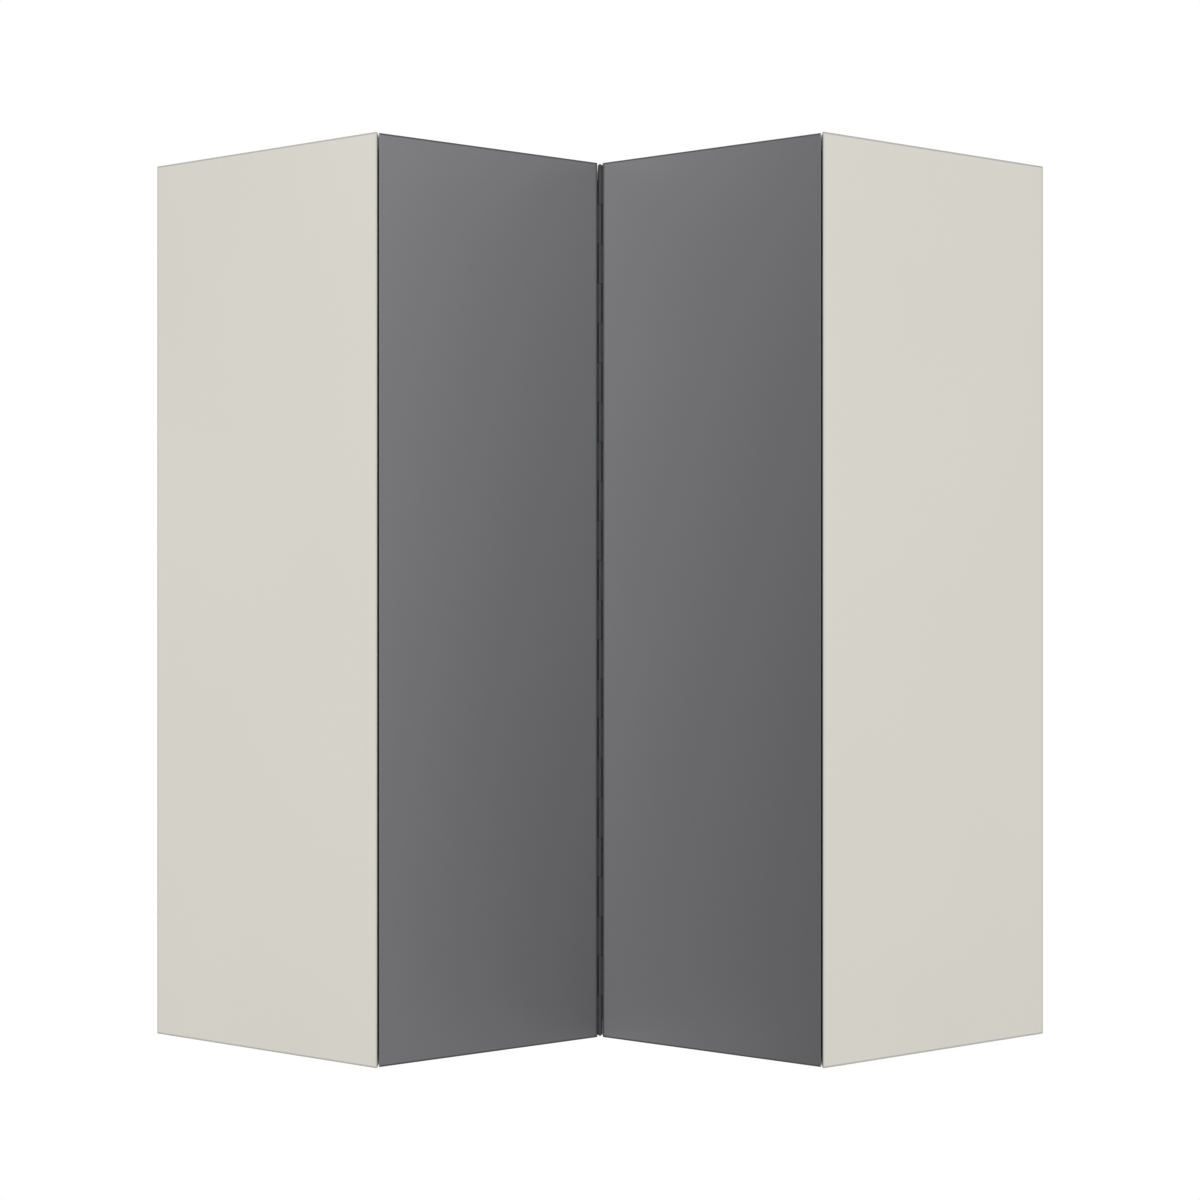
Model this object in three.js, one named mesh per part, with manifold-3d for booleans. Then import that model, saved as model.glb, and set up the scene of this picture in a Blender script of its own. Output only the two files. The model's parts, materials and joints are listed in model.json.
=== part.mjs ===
// Corner wall cabinet: an L-shaped carcase with two doors that meet at the inner corner.
// Millimetres, +Z up. The origin is the corner of the room at the underside of the cabinet:
// the back wall is the plane y = 0 and the left wall is the plane x = 0. The right wing runs
// along the back wall towards +X, the left wing along the left wall towards -Y.

import * as THREE from 'three';
import { mergeVertices } from 'three/addons/utils/BufferGeometryUtils.js';
import Module from 'manifold-3d';

const wasm = await Module();
wasm.setup();

// ---------------------------------------------------------------- driving dimensions

const WING_LENGTH = 650;        // along each wall, from the corner of the room
const DEPTH = 350;              // from the wall to the door's front face
const HEIGHT = 900;

const BOARD = 16;               // side, top and bottom panels and shelves
const DOOR_BOARD = 18;
const BACK_BOARD = 8;
const BACK_RECESS = 18;         // room behind the back panels for the wall plates
const GROOVE_DEPTH = 6;
const POST_WIDTH = 38;

const FIT = 0.3;                // clearance between parts that fit in each other
const SEAT = 0.1;               // between faces that rest on each other
const DOOR_GAP = 2;             // between the carcase's front edges and the doors' backs
const MITRE_GAP = 2;            // square across the mitre between a door and its side panel
const DOOR_REVEAL = 1.5;        // doors are this much short of the carcase at top and bottom
const CORNER_GAP = 3;           // from the ideal inner corner to the end of each door
const DOOR_ARRIS = 1.5;         // rounding of the doors' inner front edges

const SHELF_SETBACK = 20;
const SHELF_PLAY = 1;
const SHELF_STEPS = 9;          // pitches of the hole rows between the two shelves
const PIN_PITCH = 32;           // rows of holes for the shelf pins
const PIN_RADIUS = 2.4;
const PIN_HOLE_RADIUS = 2.7;
const PIN_HOLE_DEPTH = 10;
const PIN_ROW_INSET = 37;       // from the carcase's front edge, and from the back panel
const HOLES_EACH_WAY = 2;       // spare holes above and below each shelf

const HINGE_INSET = 100;        // from the cabinet's top and bottom to the outer hinges
const CUP_RADIUS = 17.5;
const CUP_DEPTH = 12;
const CUP_WALL = 1.2;
const CUP_EDGE = 5;             // board left between the mitre and the cup
const FLANGE_THICKNESS = 1.5;
const LINK_THICKNESS = 3;
const LINK_WIDTH = 5;
const LINK_PIN_RADIUS = 1.25;
const LINK_PLAY = 0.3;
const PLATE_INSET = 37;         // from the side panel's front edge to the middle of the plate

const KNUCKLE_RADIUS = 2.2;
const KNUCKLE_LENGTH = 40.6;
const KNUCKLE_PIN_RADIUS = 1.1;
const STRIP_THICKNESS = 1.2;

const LATCH_WIDTH = 16;
const LATCH_LENGTH = 76;
const LATCH_HEIGHT = 14;
const LATCH_INSET = 34;         // from the side panel's inner face to the plunger's centre
const PLUNGER_RADIUS = 4;
const PLUNGER_LENGTH = 60;
const CATCH_THICKNESS = 1.5;

const HANGER_DROP = 46;         // from the cabinet's top edge to the hook's seat
const HANGER_THICKNESS = 17;
const HANGER_LENGTH = 62;
const HANGER_HEIGHT = 58;
const HOOK_THICKNESS = 4;
const HOOK_RISE = 12;           // height of the hook's shank over its seat
const HOOK_DROP = 6;            // reach of its tooth below the seat
const HOOK_CROWN = 8;           // radius of its rounded top
const TOOTH_THICKNESS = 3.5;
const TOOTH_WALL_GAP = 1.5;     // between the tooth and the wall plate
const SLOT_PLAY = 4;            // room round the hook in the back panel, for hanging it
const WALL_PLATE_THICKNESS = 2;
const WALL_PLATE_WIDTH = 60;
const WALL_PLATE_HEIGHT = 44;
const WALL_PLATE_BEND = 3;      // outer radius of its bends
const LIP_HEIGHT = 10;

// ---------------------------------------------------------------- sizes that follow

const DOOR_BACK = DEPTH - DOOR_BOARD;               // distance of the doors' backs from the wall
const CARCASE_FRONT = DOOR_BACK - DOOR_GAP;
const INNER_FACE = WING_LENGTH - BOARD;             // inner face of a side panel
const BACK_FACE = BACK_RECESS + BACK_BOARD;         // inner face of a back panel
const MITRE_SHIFT = MITRE_GAP * Math.SQRT2;
const PANEL_TIP = DEPTH - MITRE_SHIFT;              // where a side panel's mitre starts
const HOOK_SEAT = HEIGHT - HANGER_DROP;
const SHELF_HEIGHTS = [HEIGHT / 3, HEIGHT / 3 + SHELF_STEPS * PIN_PITCH];      // their undersides
const HINGE_HEIGHTS = [HINGE_INSET, HEIGHT / 2, HEIGHT - HINGE_INSET];

// ---------------------------------------------------------------- materials

function finish(color, roughness, metalness = 0) {
  return new THREE.MeshStandardMaterial({ color, roughness, metalness });
}

const carcaseBoard = () => finish(0xd5d2c9, 0.55);
const backBoard = () => finish(0xdedbd3, 0.65);
const doorLacquer = () => finish(0x6a6c6e, 0.38);
const nickel = () => finish(0xb9bbbd, 0.3, 1);
const darkSteel = () => finish(0x3a3b3d, 0.45, 1);
const greyPlastic = () => finish(0xc9c8c4, 0.5);
const clearRubber = () => finish(0xd8dadb, 0.4);

// ---------------------------------------------------------------- shape helpers

// A closed solid from a three.js geometry.
function solidOf(geometry) {
  const bare = geometry.clone();
  bare.deleteAttribute('normal');
  bare.deleteAttribute('uv');
  const merged = mergeVertices(bare, 1e-4);
  return new wasm.Manifold(new wasm.Mesh({
    numProp: 3,
    vertProperties: new Float32Array(merged.attributes.position.array),
    triVerts: new Uint32Array(merged.index.array),
  }));
}

function geometryOf(solid) {
  const mesh = solid.getMesh();
  const geometry = new THREE.BufferGeometry();
  geometry.setAttribute('position', new THREE.BufferAttribute(mesh.vertProperties, 3));
  geometry.setIndex(new THREE.BufferAttribute(mesh.triVerts, 1));
  geometry.computeVertexNormals();
  return geometry;
}

// Points on an arc about a centre, both ends included; angles in degrees.
function arc([u, v], radius, from, to, steps) {
  return Array.from({ length: steps + 1 }, (_, i) => {
    const angle = THREE.MathUtils.degToRad(from + ((to - from) * i) / steps);
    return [u + radius * Math.cos(angle), v + radius * Math.sin(angle)];
  });
}

function extrusion(points, low, high) {
  const shape = new THREE.Shape(points.map(([u, v]) => new THREE.Vector2(u, v)));
  const geometry = new THREE.ExtrudeGeometry(shape, { depth: high - low, bevelEnabled: false });
  return geometry.translate(0, 0, low);
}

// An outline in x and y, given as [x, y] points, carried from z = low to z = high.
function prism(points, low, high) {
  return solidOf(extrusion(points, low, high));
}

// An outline in y and z, given as [y, z] points, carried from x = low to x = high.
const TURN_TO_X = new THREE.Matrix4().makeBasis(
  new THREE.Vector3(0, 1, 0),
  new THREE.Vector3(0, 0, 1),
  new THREE.Vector3(1, 0, 0),
);

function profile(points, [low, high]) {
  return solidOf(extrusion(points, low, high).applyMatrix4(TURN_TO_X));
}

function block([x0, x1], [y0, y1], [z0, z1]) {
  const geometry = new THREE.BoxGeometry(x1 - x0, y1 - y0, z1 - z0);
  return solidOf(geometry.translate((x0 + x1) / 2, (y0 + y1) / 2, (z0 + z1) / 2));
}

// A round bar along 'x', 'y' or 'z', from its low end to its high end.
function rod(axis, radius, [low, high], [u, v], sides = 16) {
  const geometry = new THREE.CylinderGeometry(radius, radius, high - low, sides);
  const middle = (low + high) / 2;
  if (axis === 'x') geometry.rotateZ(Math.PI / 2).translate(middle, u, v);
  if (axis === 'y') geometry.translate(u, middle, v);
  if (axis === 'z') geometry.rotateX(Math.PI / 2).translate(u, v, middle);
  return solidOf(geometry);
}

function union(...solids) {
  return solids.reduce((all, next) => all.add(next));
}

function cut(solid, ...tools) {
  return tools.reduce((left, tool) => left.subtract(tool), solid);
}

function piece(name, solid, material) {
  const mesh = new THREE.Mesh(geometryOf(solid), material);
  mesh.name = name;
  return mesh;
}

// ---------------------------------------------------------------- carcase boards

// Both wings share one design. It is written for the right wing, where x runs along the wall and
// y is minus the distance from it. The left wing is the mirror image in the plane x = -y.
const cabinet = new THREE.Group();
const rightWing = new THREE.Group();
const leftWing = new THREE.Group();
leftWing.matrixAutoUpdate = false;
leftWing.matrix.set(
  0, -1, 0, 0,
  -1, 0, 0, 0,
  0, 0, 1, 0,
  0, 0, 0, 1,
);
cabinet.add(rightWing, leftWing);

const WINGS = [['right', rightWing], ['left', leftWing]];

function pinRows() {
  return [-CARCASE_FRONT + PIN_ROW_INSET, -BACK_FACE - PIN_ROW_INSET];
}

function sidePanel() {
  const outline = [
    [INNER_FACE, 0],
    [INNER_FACE, -PANEL_TIP + BOARD],
    [WING_LENGTH, -PANEL_TIP],
    [WING_LENGTH, 0],
  ];
  const groove = block(
    [INNER_FACE - 1, INNER_FACE + GROOVE_DEPTH],
    [-BACK_FACE - FIT, -BACK_RECESS + FIT],
    [BOARD - GROOVE_DEPTH, HEIGHT - BOARD + GROOVE_DEPTH],
  );
  const holes = [];
  for (const shelf of SHELF_HEIGHTS) {
    for (let step = -HOLES_EACH_WAY; step <= HOLES_EACH_WAY; step += 1) {
      for (const y of pinRows()) {
        const z = shelf - PIN_RADIUS + step * PIN_PITCH;
        holes.push(rod('x', PIN_HOLE_RADIUS, [INNER_FACE - 1, INNER_FACE + PIN_HOLE_DEPTH], [y, z], 8));
      }
    }
  }
  return cut(prism(outline, 0, HEIGHT), groove, ...holes);
}

// The outline of both wings in plan, between the given distances from the walls.
function wingOutline(rear, end, front) {
  return [
    [rear, -rear], [end, -rear], [end, -front],
    [front, -front], [front, -end], [rear, -end],
  ];
}

// A top or bottom panel, grooved for the back panels on the face towards the inside.
function endPanel(low, grooveLow) {
  const board = prism(wingOutline(0, INNER_FACE - SEAT, CARCASE_FRONT), low, low + BOARD);
  const across = [-BACK_FACE - FIT, -BACK_RECESS + FIT];
  const high = grooveLow + GROOVE_DEPTH + 1;
  const rightGroove = block([BACK_RECESS - FIT, INNER_FACE + 1], across, [grooveLow, high]);
  const leftGroove = block([BACK_RECESS - FIT, BACK_FACE + FIT], [-INNER_FACE - 1, -BACK_RECESS + FIT],
    [grooveLow, high]);
  return cut(board, rightGroove, leftGroove);
}

// A back panel from its end at the corner of the room to the groove of the side panel,
// with a slot for the hanger's hook.
function backPanel(start) {
  const board = block(
    [start, INNER_FACE + GROOVE_DEPTH - FIT],
    [-BACK_FACE, -BACK_RECESS],
    [BOARD - GROOVE_DEPTH + FIT, HEIGHT - BOARD + GROOVE_DEPTH - FIT],
  );
  const middle = INNER_FACE - HANGER_THICKNESS / 2;
  const slot = block(
    [middle - HOOK_THICKNESS / 2 - SLOT_PLAY, middle + HOOK_THICKNESS / 2 + SLOT_PLAY],
    [-BACK_FACE - 1, -BACK_RECESS + 1],
    [HOOK_SEAT - HOOK_DROP - SLOT_PLAY, HOOK_SEAT + HOOK_RISE + SLOT_PLAY],
  );
  return cut(board, slot);
}

function shelf(low) {
  const rear = BACK_FACE + SHELF_PLAY;
  const end = INNER_FACE - SHELF_PLAY;
  const front = CARCASE_FRONT - SHELF_SETBACK;
  const notch = BACK_FACE + POST_WIDTH + SHELF_PLAY;
  const corner = block([0, notch], [-notch, 0], [low - 1, low + BOARD + 1]);
  return cut(prism(wingOutline(rear, end, front), low, low + BOARD), corner);
}

// A corner batten that both back panels are screwed to; each shelf rests on a pin in it.
function cornerPost() {
  const sides = [BACK_FACE + SEAT, BACK_FACE + POST_WIDTH];
  const post = block(sides, [-sides[1], -sides[0]], [BOARD + SEAT, HEIGHT - BOARD - SEAT]);
  const middle = BACK_FACE + POST_WIDTH / 2;
  const holes = SHELF_HEIGHTS.map((z) => rod('x', PIN_HOLE_RADIUS,
    [sides[1] - PIN_HOLE_DEPTH, sides[1] + 1], [-middle, z - PIN_RADIUS], 8));
  return cut(post, ...holes);
}

// ---------------------------------------------------------------- shelf pins

const PIN_PAD = 11;             // reach of the pin's flat head under the shelf
const PAD_HALF_WIDTH = 4;
const PAD_THICKNESS = 1.6;
const PIN_COLLAR = 3.6;
const COLLAR_THICKNESS = 1.5;

// A stem in the hole at the face x = face, and a half-round head that carries the shelf.
// side is +1 where the hole runs towards +x, -1 where it runs towards -x.
function shelfPin(face, side, y, z) {
  const centre = [y, z - PIN_RADIUS];
  const stemEnd = face + side * (PIN_HOLE_DEPTH - 1);
  const headEnd = face - side * PIN_PAD;
  const ends = [Math.min(stemEnd, headEnd), Math.max(stemEnd, headEnd)];
  const stem = rod('x', PIN_RADIUS, ends, centre, 12);
  const collarEnds = [face - side * SEAT, face - side * COLLAR_THICKNESS].sort((a, b) => a - b);
  const collar = rod('x', PIN_COLLAR, collarEnds, centre, 12);
  const padEnds = [face - side * SEAT, headEnd].sort((a, b) => a - b);
  const reach = PIN_COLLAR + 1;
  const flat = block([ends[0] - 1, ends[1] + 1], [y - reach, y + reach], [z - SEAT, z + reach]);
  const pad = block(padEnds, [y - PAD_HALF_WIDTH, y + PAD_HALF_WIDTH], [z - PAD_THICKNESS, z - SEAT]);
  return union(cut(union(stem, collar), flat), pad);
}

// ---------------------------------------------------------------- wall fixing

// The hanger's housing sits on the side panel against the back panel, and its hook reaches
// through the back panel over the wall plate.
const HANGER_Z = [HOOK_SEAT - HANGER_HEIGHT / 2, HOOK_SEAT + HANGER_HEIGHT / 2];
const HANGER_FRONT = -BACK_FACE - HANGER_LENGTH;
const HANGER_WALL = 20;         // solid front end of the housing, for the adjusting screws
const CHANNEL_HALF_HEIGHT = 14;
const WELL_RADIUS = 4.2;
const WELL_DEPTH = 8;
const WELL_OFFSET = 18;         // screw wells above and below the hook

const HANGER_ROUNDING = 6;

function hangerHousing() {
  const [low, high] = HANGER_Z;
  const nose = HANGER_FRONT + HANGER_ROUNDING;
  const outline = [
    [-BACK_FACE - SEAT, low],
    [-BACK_FACE - SEAT, high],
    ...arc([nose, high - HANGER_ROUNDING], HANGER_ROUNDING, 90, 180, 3),
    ...arc([nose, low + HANGER_ROUNDING], HANGER_ROUNDING, 180, 270, 3),
  ];
  const box = profile(outline, [INNER_FACE - HANGER_THICKNESS, INNER_FACE - SEAT]);
  const middle = INNER_FACE - HANGER_THICKNESS / 2;
  const channel = block(
    [middle - HOOK_THICKNESS / 2 - FIT, middle + HOOK_THICKNESS / 2 + FIT],
    [HANGER_FRONT + HANGER_WALL, -BACK_FACE + 1],
    [HOOK_SEAT - CHANNEL_HALF_HEIGHT, HOOK_SEAT + CHANNEL_HALF_HEIGHT],
  );
  const screwWells = [-WELL_OFFSET, WELL_OFFSET].map((z) => rod('y', WELL_RADIUS,
    [HANGER_FRONT - 1, HANGER_FRONT + WELL_DEPTH], [middle, HOOK_SEAT + z], 8));
  return cut(box, channel, ...screwWells);
}

// The hook is cut from plate: a shank in the housing, a throat over the wall plate's lip, a
// rounded crown and a tooth behind the lip.
function hangerHook() {
  const middle = INNER_FACE - HANGER_THICKNESS / 2;
  const toothEnd = -WALL_PLATE_THICKNESS - TOOTH_WALL_GAP;
  const tipRadius = TOOTH_THICKNESS / 2;
  const bottom = HOOK_SEAT - HOOK_DROP;
  const top = HOOK_SEAT + HOOK_RISE;
  const heel = HANGER_FRONT + HANGER_WALL + FIT;
  const outline = [
    [heel, bottom],
    ...arc([-BACK_RECESS + HOOK_DROP, bottom], HOOK_DROP, 180, 90, 3),
    [toothEnd - TOOTH_THICKNESS, HOOK_SEAT],
    ...arc([toothEnd - tipRadius, bottom + tipRadius], tipRadius, 180, 360, 4),
    ...arc([toothEnd - HOOK_CROWN, top - HOOK_CROWN], HOOK_CROWN, 0, 90, 4),
    [heel + HOOK_THICKNESS, top],
    [heel, top - HOOK_THICKNESS],
  ];
  return profile(outline, [middle - HOOK_THICKNESS / 2, middle + HOOK_THICKNESS / 2]);
}

// A steel plate on the wall, bent forward and up into a lip that the hook hangs over.
const PLATE_SIDE_GAP = 2;       // between the wall plate and the side panel
const PLATE_HOLE_INSET = 15;
const PLATE_HOLE_DROP = 28;     // from the lip's upper edge
const PLATE_HOLE_RADIUS = 3.2;

function wallPlate() {
  const end = INNER_FACE - PLATE_SIDE_GAP;
  const across = [end - WALL_PLATE_WIDTH, end];
  const lipFront = -WALL_PLATE_THICKNESS - TOOTH_WALL_GAP - TOOTH_THICKNESS - FIT;
  const top = HOOK_SEAT - FIT;
  const inner = WALL_PLATE_BEND - WALL_PLATE_THICKNESS;
  const rearBend = [-WALL_PLATE_BEND, top - LIP_HEIGHT - inner];
  const lipBend = [lipFront + inner, top - LIP_HEIGHT + WALL_PLATE_BEND];
  const outline = [
    [0, top - WALL_PLATE_HEIGHT],
    ...arc(rearBend, WALL_PLATE_BEND, 0, 90, 3),
    ...arc(lipBend, inner, 270, 180, 3),
    ...arc([lipFront - WALL_PLATE_THICKNESS / 2, top - WALL_PLATE_THICKNESS / 2],
      WALL_PLATE_THICKNESS / 2, 0, 180, 3),
    ...arc(lipBend, WALL_PLATE_BEND, 180, 270, 3),
    ...arc(rearBend, inner, 90, 0, 3),
    [-WALL_PLATE_THICKNESS, top - WALL_PLATE_HEIGHT],
  ];
  const holes = [across[0] + PLATE_HOLE_INSET, across[1] - PLATE_HOLE_INSET].map((x) => rod('y',
    PLATE_HOLE_RADIUS, [-WALL_PLATE_THICKNESS - 1, 1], [x, top - PLATE_HOLE_DROP], 12));
  return cut(profile(outline, across), ...holes);
}

// ---------------------------------------------------------------- doors

// A door in plan: a mitre at the outer edge and a rounded arris at the inner front edge.
function doorOutline() {
  const end = DEPTH + CORNER_GAP;
  const arris = arc([end + DOOR_ARRIS, -DEPTH + DOOR_ARRIS], DOOR_ARRIS, 180, 270, 3);
  return [[end, -DOOR_BACK], ...arris, [WING_LENGTH, -DEPTH], [WING_LENGTH - DOOR_BOARD, -DOOR_BACK]];
}

const DOOR_Z = [DOOR_REVEAL, HEIGHT - DOOR_REVEAL];
const CUP_CENTRE = DOOR_BOARD + CUP_EDGE + CUP_RADIUS;      // from the door's outer tip

function door(hingeHeights) {
  const bores = hingeHeights.map((z) => rod('y', CUP_RADIUS + FIT,
    [-DOOR_BACK - CUP_DEPTH - FIT, -DOOR_BACK + 1], [WING_LENGTH - CUP_CENTRE, z], 24));
  return cut(prism(doorOutline(), ...DOOR_Z), ...bores);
}

// ---------------------------------------------------------------- swing hinges

// The hinge is laid out in its own plane: s runs from the door's outer tip inwards and n runs
// from the door's front face outwards. It is a double parallelogram. The pins on the arm lie on
// one line through the turning point, the pins in the cup on another. The two links stay
// parallel to the cup's line and the two couplers to the arm's line, so the door turns about a
// point just inside its front edge, where no pin could be.
const hingeFrame = new THREE.Group();
hingeFrame.matrixAutoUpdate = false;
hingeFrame.matrix.set(
  0, 1, 0, DEPTH,
  1, 0, 0, -WING_LENGTH,
  0, 0, 1, 0,
  0, 0, 0, 1,
);
cabinet.add(hingeFrame);

const TURN_POINT = new THREE.Vector2(1, -1);
const ARM_ANGLE = THREE.MathUtils.degToRad(-50);
const ARM_PINS = [34, 46];      // distances of the pins from the turning point
const CUP_ANGLE = THREE.MathUtils.degToRad(-19.4);
const CUP_PINS = [31.8, 45];

// The point reached by going along the arm's line and then along the cup's line.
function hingePoint(alongArm, alongCup) {
  return [
    TURN_POINT.x + alongArm * Math.cos(ARM_ANGLE) + alongCup * Math.cos(CUP_ANGLE),
    TURN_POINT.y + alongArm * Math.sin(ARM_ANGLE) + alongCup * Math.sin(CUP_ANGLE),
  ];
}

// A rounded flat bar through the given points, as thick as from low to high.
function bar(points, width, low, high) {
  const parts = points.map((point) => rod('z', width / 2, [low, high], point, 16));
  for (let i = 1; i < points.length; i += 1) {
    const [x0, y0] = points[i - 1];
    const [x1, y1] = points[i];
    const length = Math.hypot(x1 - x0, y1 - y0);
    const across = new THREE.BoxGeometry(length, width, high - low);
    across.rotateZ(Math.atan2(y1 - y0, x1 - x0));
    across.translate((x0 + x1) / 2, (y0 + y1) / 2, (low + high) / 2);
    parts.push(solidOf(across));
  }
  return union(...parts);
}

const LAYER = LINK_THICKNESS + LINK_PLAY;       // pitch of the links across the hinge
const CUP_FACE = -DOOR_BOARD;                   // the door's back face in the hinge's plane

// Floor of layer number k; the couplers are in layers 0 and 1, the links in layers -1 and -2.
const layer = (k) => [k * LAYER, k * LAYER + LINK_THICKNESS];

function pinHoles(points, [low, high]) {
  return points.map((point) => rod('z', LINK_PIN_RADIUS + LINK_PLAY, [low - 1, high + 1], point, 12));
}

// A link turns on one of the arm's pins and carries a pin for each coupler.
function hingeLink(armPin, k) {
  const base = hingePoint(armPin, 0);
  const heads = CUP_PINS.map((distance) => hingePoint(armPin, distance));
  const [low, high] = layer(k);
  const plate = bar([base, heads[1]], LINK_WIDTH, low, high);
  const pins = heads.map((head, i) => rod('z', LINK_PIN_RADIUS, [high - 1, layer(i)[1]], head, 12));
  return cut(union(plate, ...pins), ...pinHoles([base], [low, high]));
}

// A coupler hangs on a pin in the cup and joins both links. The front one leaves the cup
// swan-necked, so that it clears the rim when the door is open.
const NECK_ANGLE = THREE.MathUtils.degToRad(48);
const NECK_LENGTH = 12;

function coupler(cupPin, k, necked) {
  const eye = hingePoint(0, cupPin);
  const joints = ARM_PINS.map((distance) => hingePoint(distance, cupPin));
  const neck = [
    eye[0] + NECK_LENGTH * Math.cos(ARM_ANGLE + NECK_ANGLE),
    eye[1] + NECK_LENGTH * Math.sin(ARM_ANGLE + NECK_ANGLE),
  ];
  const route = necked ? [eye, neck, ...joints] : [eye, ...joints];
  const [low, high] = layer(k);
  return cut(bar(route, LINK_WIDTH, low, high), ...pinHoles([eye, ...joints], [low, high]));
}

// The cup: a bowl with a flange on the door's back and a pin for each coupler.
const BOWL_CHAMFER = 2;
const RIM_WIDTH = 2;
const FLANGE_REACH = 24;        // from the cup's centre to the flange's screws, along the height
const FLANGE_SHIFT = 7;         // of the flange, away from the door's outer edge
const FLANGE_HALF_WIDTH = 6;
const CUP_SCREW_RADIUS = 2.1;

function hingeCup() {
  const outer = [
    [0, CUP_FACE + CUP_DEPTH],
    [CUP_RADIUS - BOWL_CHAMFER, CUP_FACE + CUP_DEPTH],
    [CUP_RADIUS, CUP_FACE + CUP_DEPTH - BOWL_CHAMFER],
    [CUP_RADIUS, CUP_FACE - SEAT],
    [0, CUP_FACE - SEAT],
  ].map(([x, y]) => new THREE.Vector2(x, y)).reverse();
  const bowl = solidOf(new THREE.LatheGeometry(outer, 24)).translate([CUP_CENTRE, 0, 0]);
  const flangeFaces = [CUP_FACE - FLANGE_THICKNESS, CUP_FACE - SEAT];
  const middle = CUP_CENTRE + FLANGE_SHIFT;
  const ends = [-FLANGE_REACH, FLANGE_REACH];
  const ears = ends.map((z) => rod('y', FLANGE_HALF_WIDTH, flangeFaces, [middle, z], 16));
  const web = block([middle - FLANGE_HALF_WIDTH, middle + FLANGE_HALF_WIDTH], flangeFaces, ends);
  const rim = rod('y', CUP_RADIUS + RIM_WIDTH, flangeFaces, [CUP_CENTRE, 0], 24);
  const hollow = rod('y', CUP_RADIUS - CUP_WALL,
    [CUP_FACE - FLANGE_THICKNESS - 1, CUP_FACE + CUP_DEPTH - CUP_WALL], [CUP_CENTRE, 0], 24);
  const pins = CUP_PINS.map((distance, k) => {
    const [s, n] = hingePoint(0, distance);
    const offset = Math.abs(s - CUP_CENTRE) + LINK_PIN_RADIUS;
    const reach = Math.sqrt((CUP_RADIUS - CUP_WALL / 2) ** 2 - offset ** 2);
    const run = k === 0 ? [-reach, layer(0)[1]] : [layer(1)[0], reach];
    return rod('z', LINK_PIN_RADIUS, run, [s, n], 12);
  });
  const screws = ends.map((z) => rod('y', CUP_SCREW_RADIUS,
    [CUP_FACE - FLANGE_THICKNESS - 1, CUP_FACE + 1], [middle, z], 8));
  return union(cut(union(bowl, rim, web, ...ears), hollow, ...screws), ...pins);
}

// The arm: a channel on the mounting plate whose two cheeks carry the links' pins.
const PLATE_THICKNESS = 4;
const PLATE_CENTRE = -(DOOR_BOARD + MITRE_SHIFT) - PLATE_INSET;
const ARM_HALF = 13;            // half the arm's height over its cheeks
const CHEEK = 1.6;
const CHEEK_WIDTH = 8;
const TAIL = [5, -22];          // end of the cheeks, from the arm's seat and the plate's centre
const SPINE = [-26, 14];        // ends of the arm's back, from the plate's centre
const ARM_SCREW = { radius: 3, height: 1.4, shift: -8 };

function hingeArm() {
  const seat = BOARD + PLATE_THICKNESS + SEAT;
  const pins = ARM_PINS.map((distance) => hingePoint(distance, 0));
  const tail = [seat + TAIL[0], PLATE_CENTRE + TAIL[1]];
  const cheeks = [-1, 1].map((side) => {
    const faces = [side * ARM_HALF, side * (ARM_HALF - CHEEK)].sort((a, b) => a - b);
    return bar([pins[0], pins[1], tail], CHEEK_WIDTH, ...faces).trimByPlane([1, 0, 0], seat);
  });
  const spine = block([seat, seat + CHEEK], SPINE.map((y) => PLATE_CENTRE + y), [-ARM_HALF, ARM_HALF]);
  const axleEnd = ARM_HALF - CHEEK / 2;
  const axles = pins.map((pin) => rod('z', LINK_PIN_RADIUS, [-axleEnd, axleEnd], pin, 12));
  const screw = rod('x', ARM_SCREW.radius, [seat, seat + CHEEK + ARM_SCREW.height],
    [PLATE_CENTRE + ARM_SCREW.shift, 0], 12);
  return union(spine, screw, ...cheeks, ...axles);
}

// The mounting plate: a rail with a tapered nose across a pair of round-ended wings, which two
// screws hold to the side panel.
const RAIL = { tail: -26, shoulder: 10, nose: 16, halfWidth: 9, noseHalfWidth: 6 };
const WING = { thickness: 2.5, halfWidth: 8, reach: 24 };
const PLATE_SCREW = { radius: 3.4, height: 3.6, reach: 16 };

function hingePlate() {
  const rail = profile([
    [PLATE_CENTRE + RAIL.tail, -RAIL.halfWidth],
    [PLATE_CENTRE + RAIL.shoulder, -RAIL.halfWidth],
    [PLATE_CENTRE + RAIL.nose, -RAIL.noseHalfWidth],
    [PLATE_CENTRE + RAIL.nose, RAIL.noseHalfWidth],
    [PLATE_CENTRE + RAIL.shoulder, RAIL.halfWidth],
    [PLATE_CENTRE + RAIL.tail, RAIL.halfWidth],
  ], [BOARD + SEAT, BOARD + PLATE_THICKNESS]);
  const wingEnd = WING.reach - WING.halfWidth;
  const wings = profile([
    ...arc([PLATE_CENTRE, wingEnd], WING.halfWidth, 0, 180, 4),
    ...arc([PLATE_CENTRE, -wingEnd], WING.halfWidth, 180, 360, 4),
  ], [BOARD + SEAT, BOARD + WING.thickness]);
  const heads = [-PLATE_SCREW.reach, PLATE_SCREW.reach].map((z) => rod('x', PLATE_SCREW.radius,
    [BOARD + WING.thickness / 2, BOARD + PLATE_SCREW.height], [PLATE_CENTRE, z], 12));
  return union(rail, wings, ...heads);
}

// ---------------------------------------------------------------- corner hinge between the doors

// A continuous hinge in the gap at the inner corner. Its strips lie on the doors' end faces and
// its knuckles take turns along the pin.
const STRIP_INSET = 1.5;        // least distance from the doors' ends to the strips' ends
const STRIP_ROOM = HEIGHT - 2 * (DOOR_REVEAL + STRIP_INSET);
const KNUCKLES = Math.floor(STRIP_ROOM / KNUCKLE_LENGTH / 2) * 2;
const STRIP_Z = [
  HEIGHT / 2 - (KNUCKLES * KNUCKLE_LENGTH) / 2,
  HEIGHT / 2 + (KNUCKLES * KNUCKLE_LENGTH) / 2,
];

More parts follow.
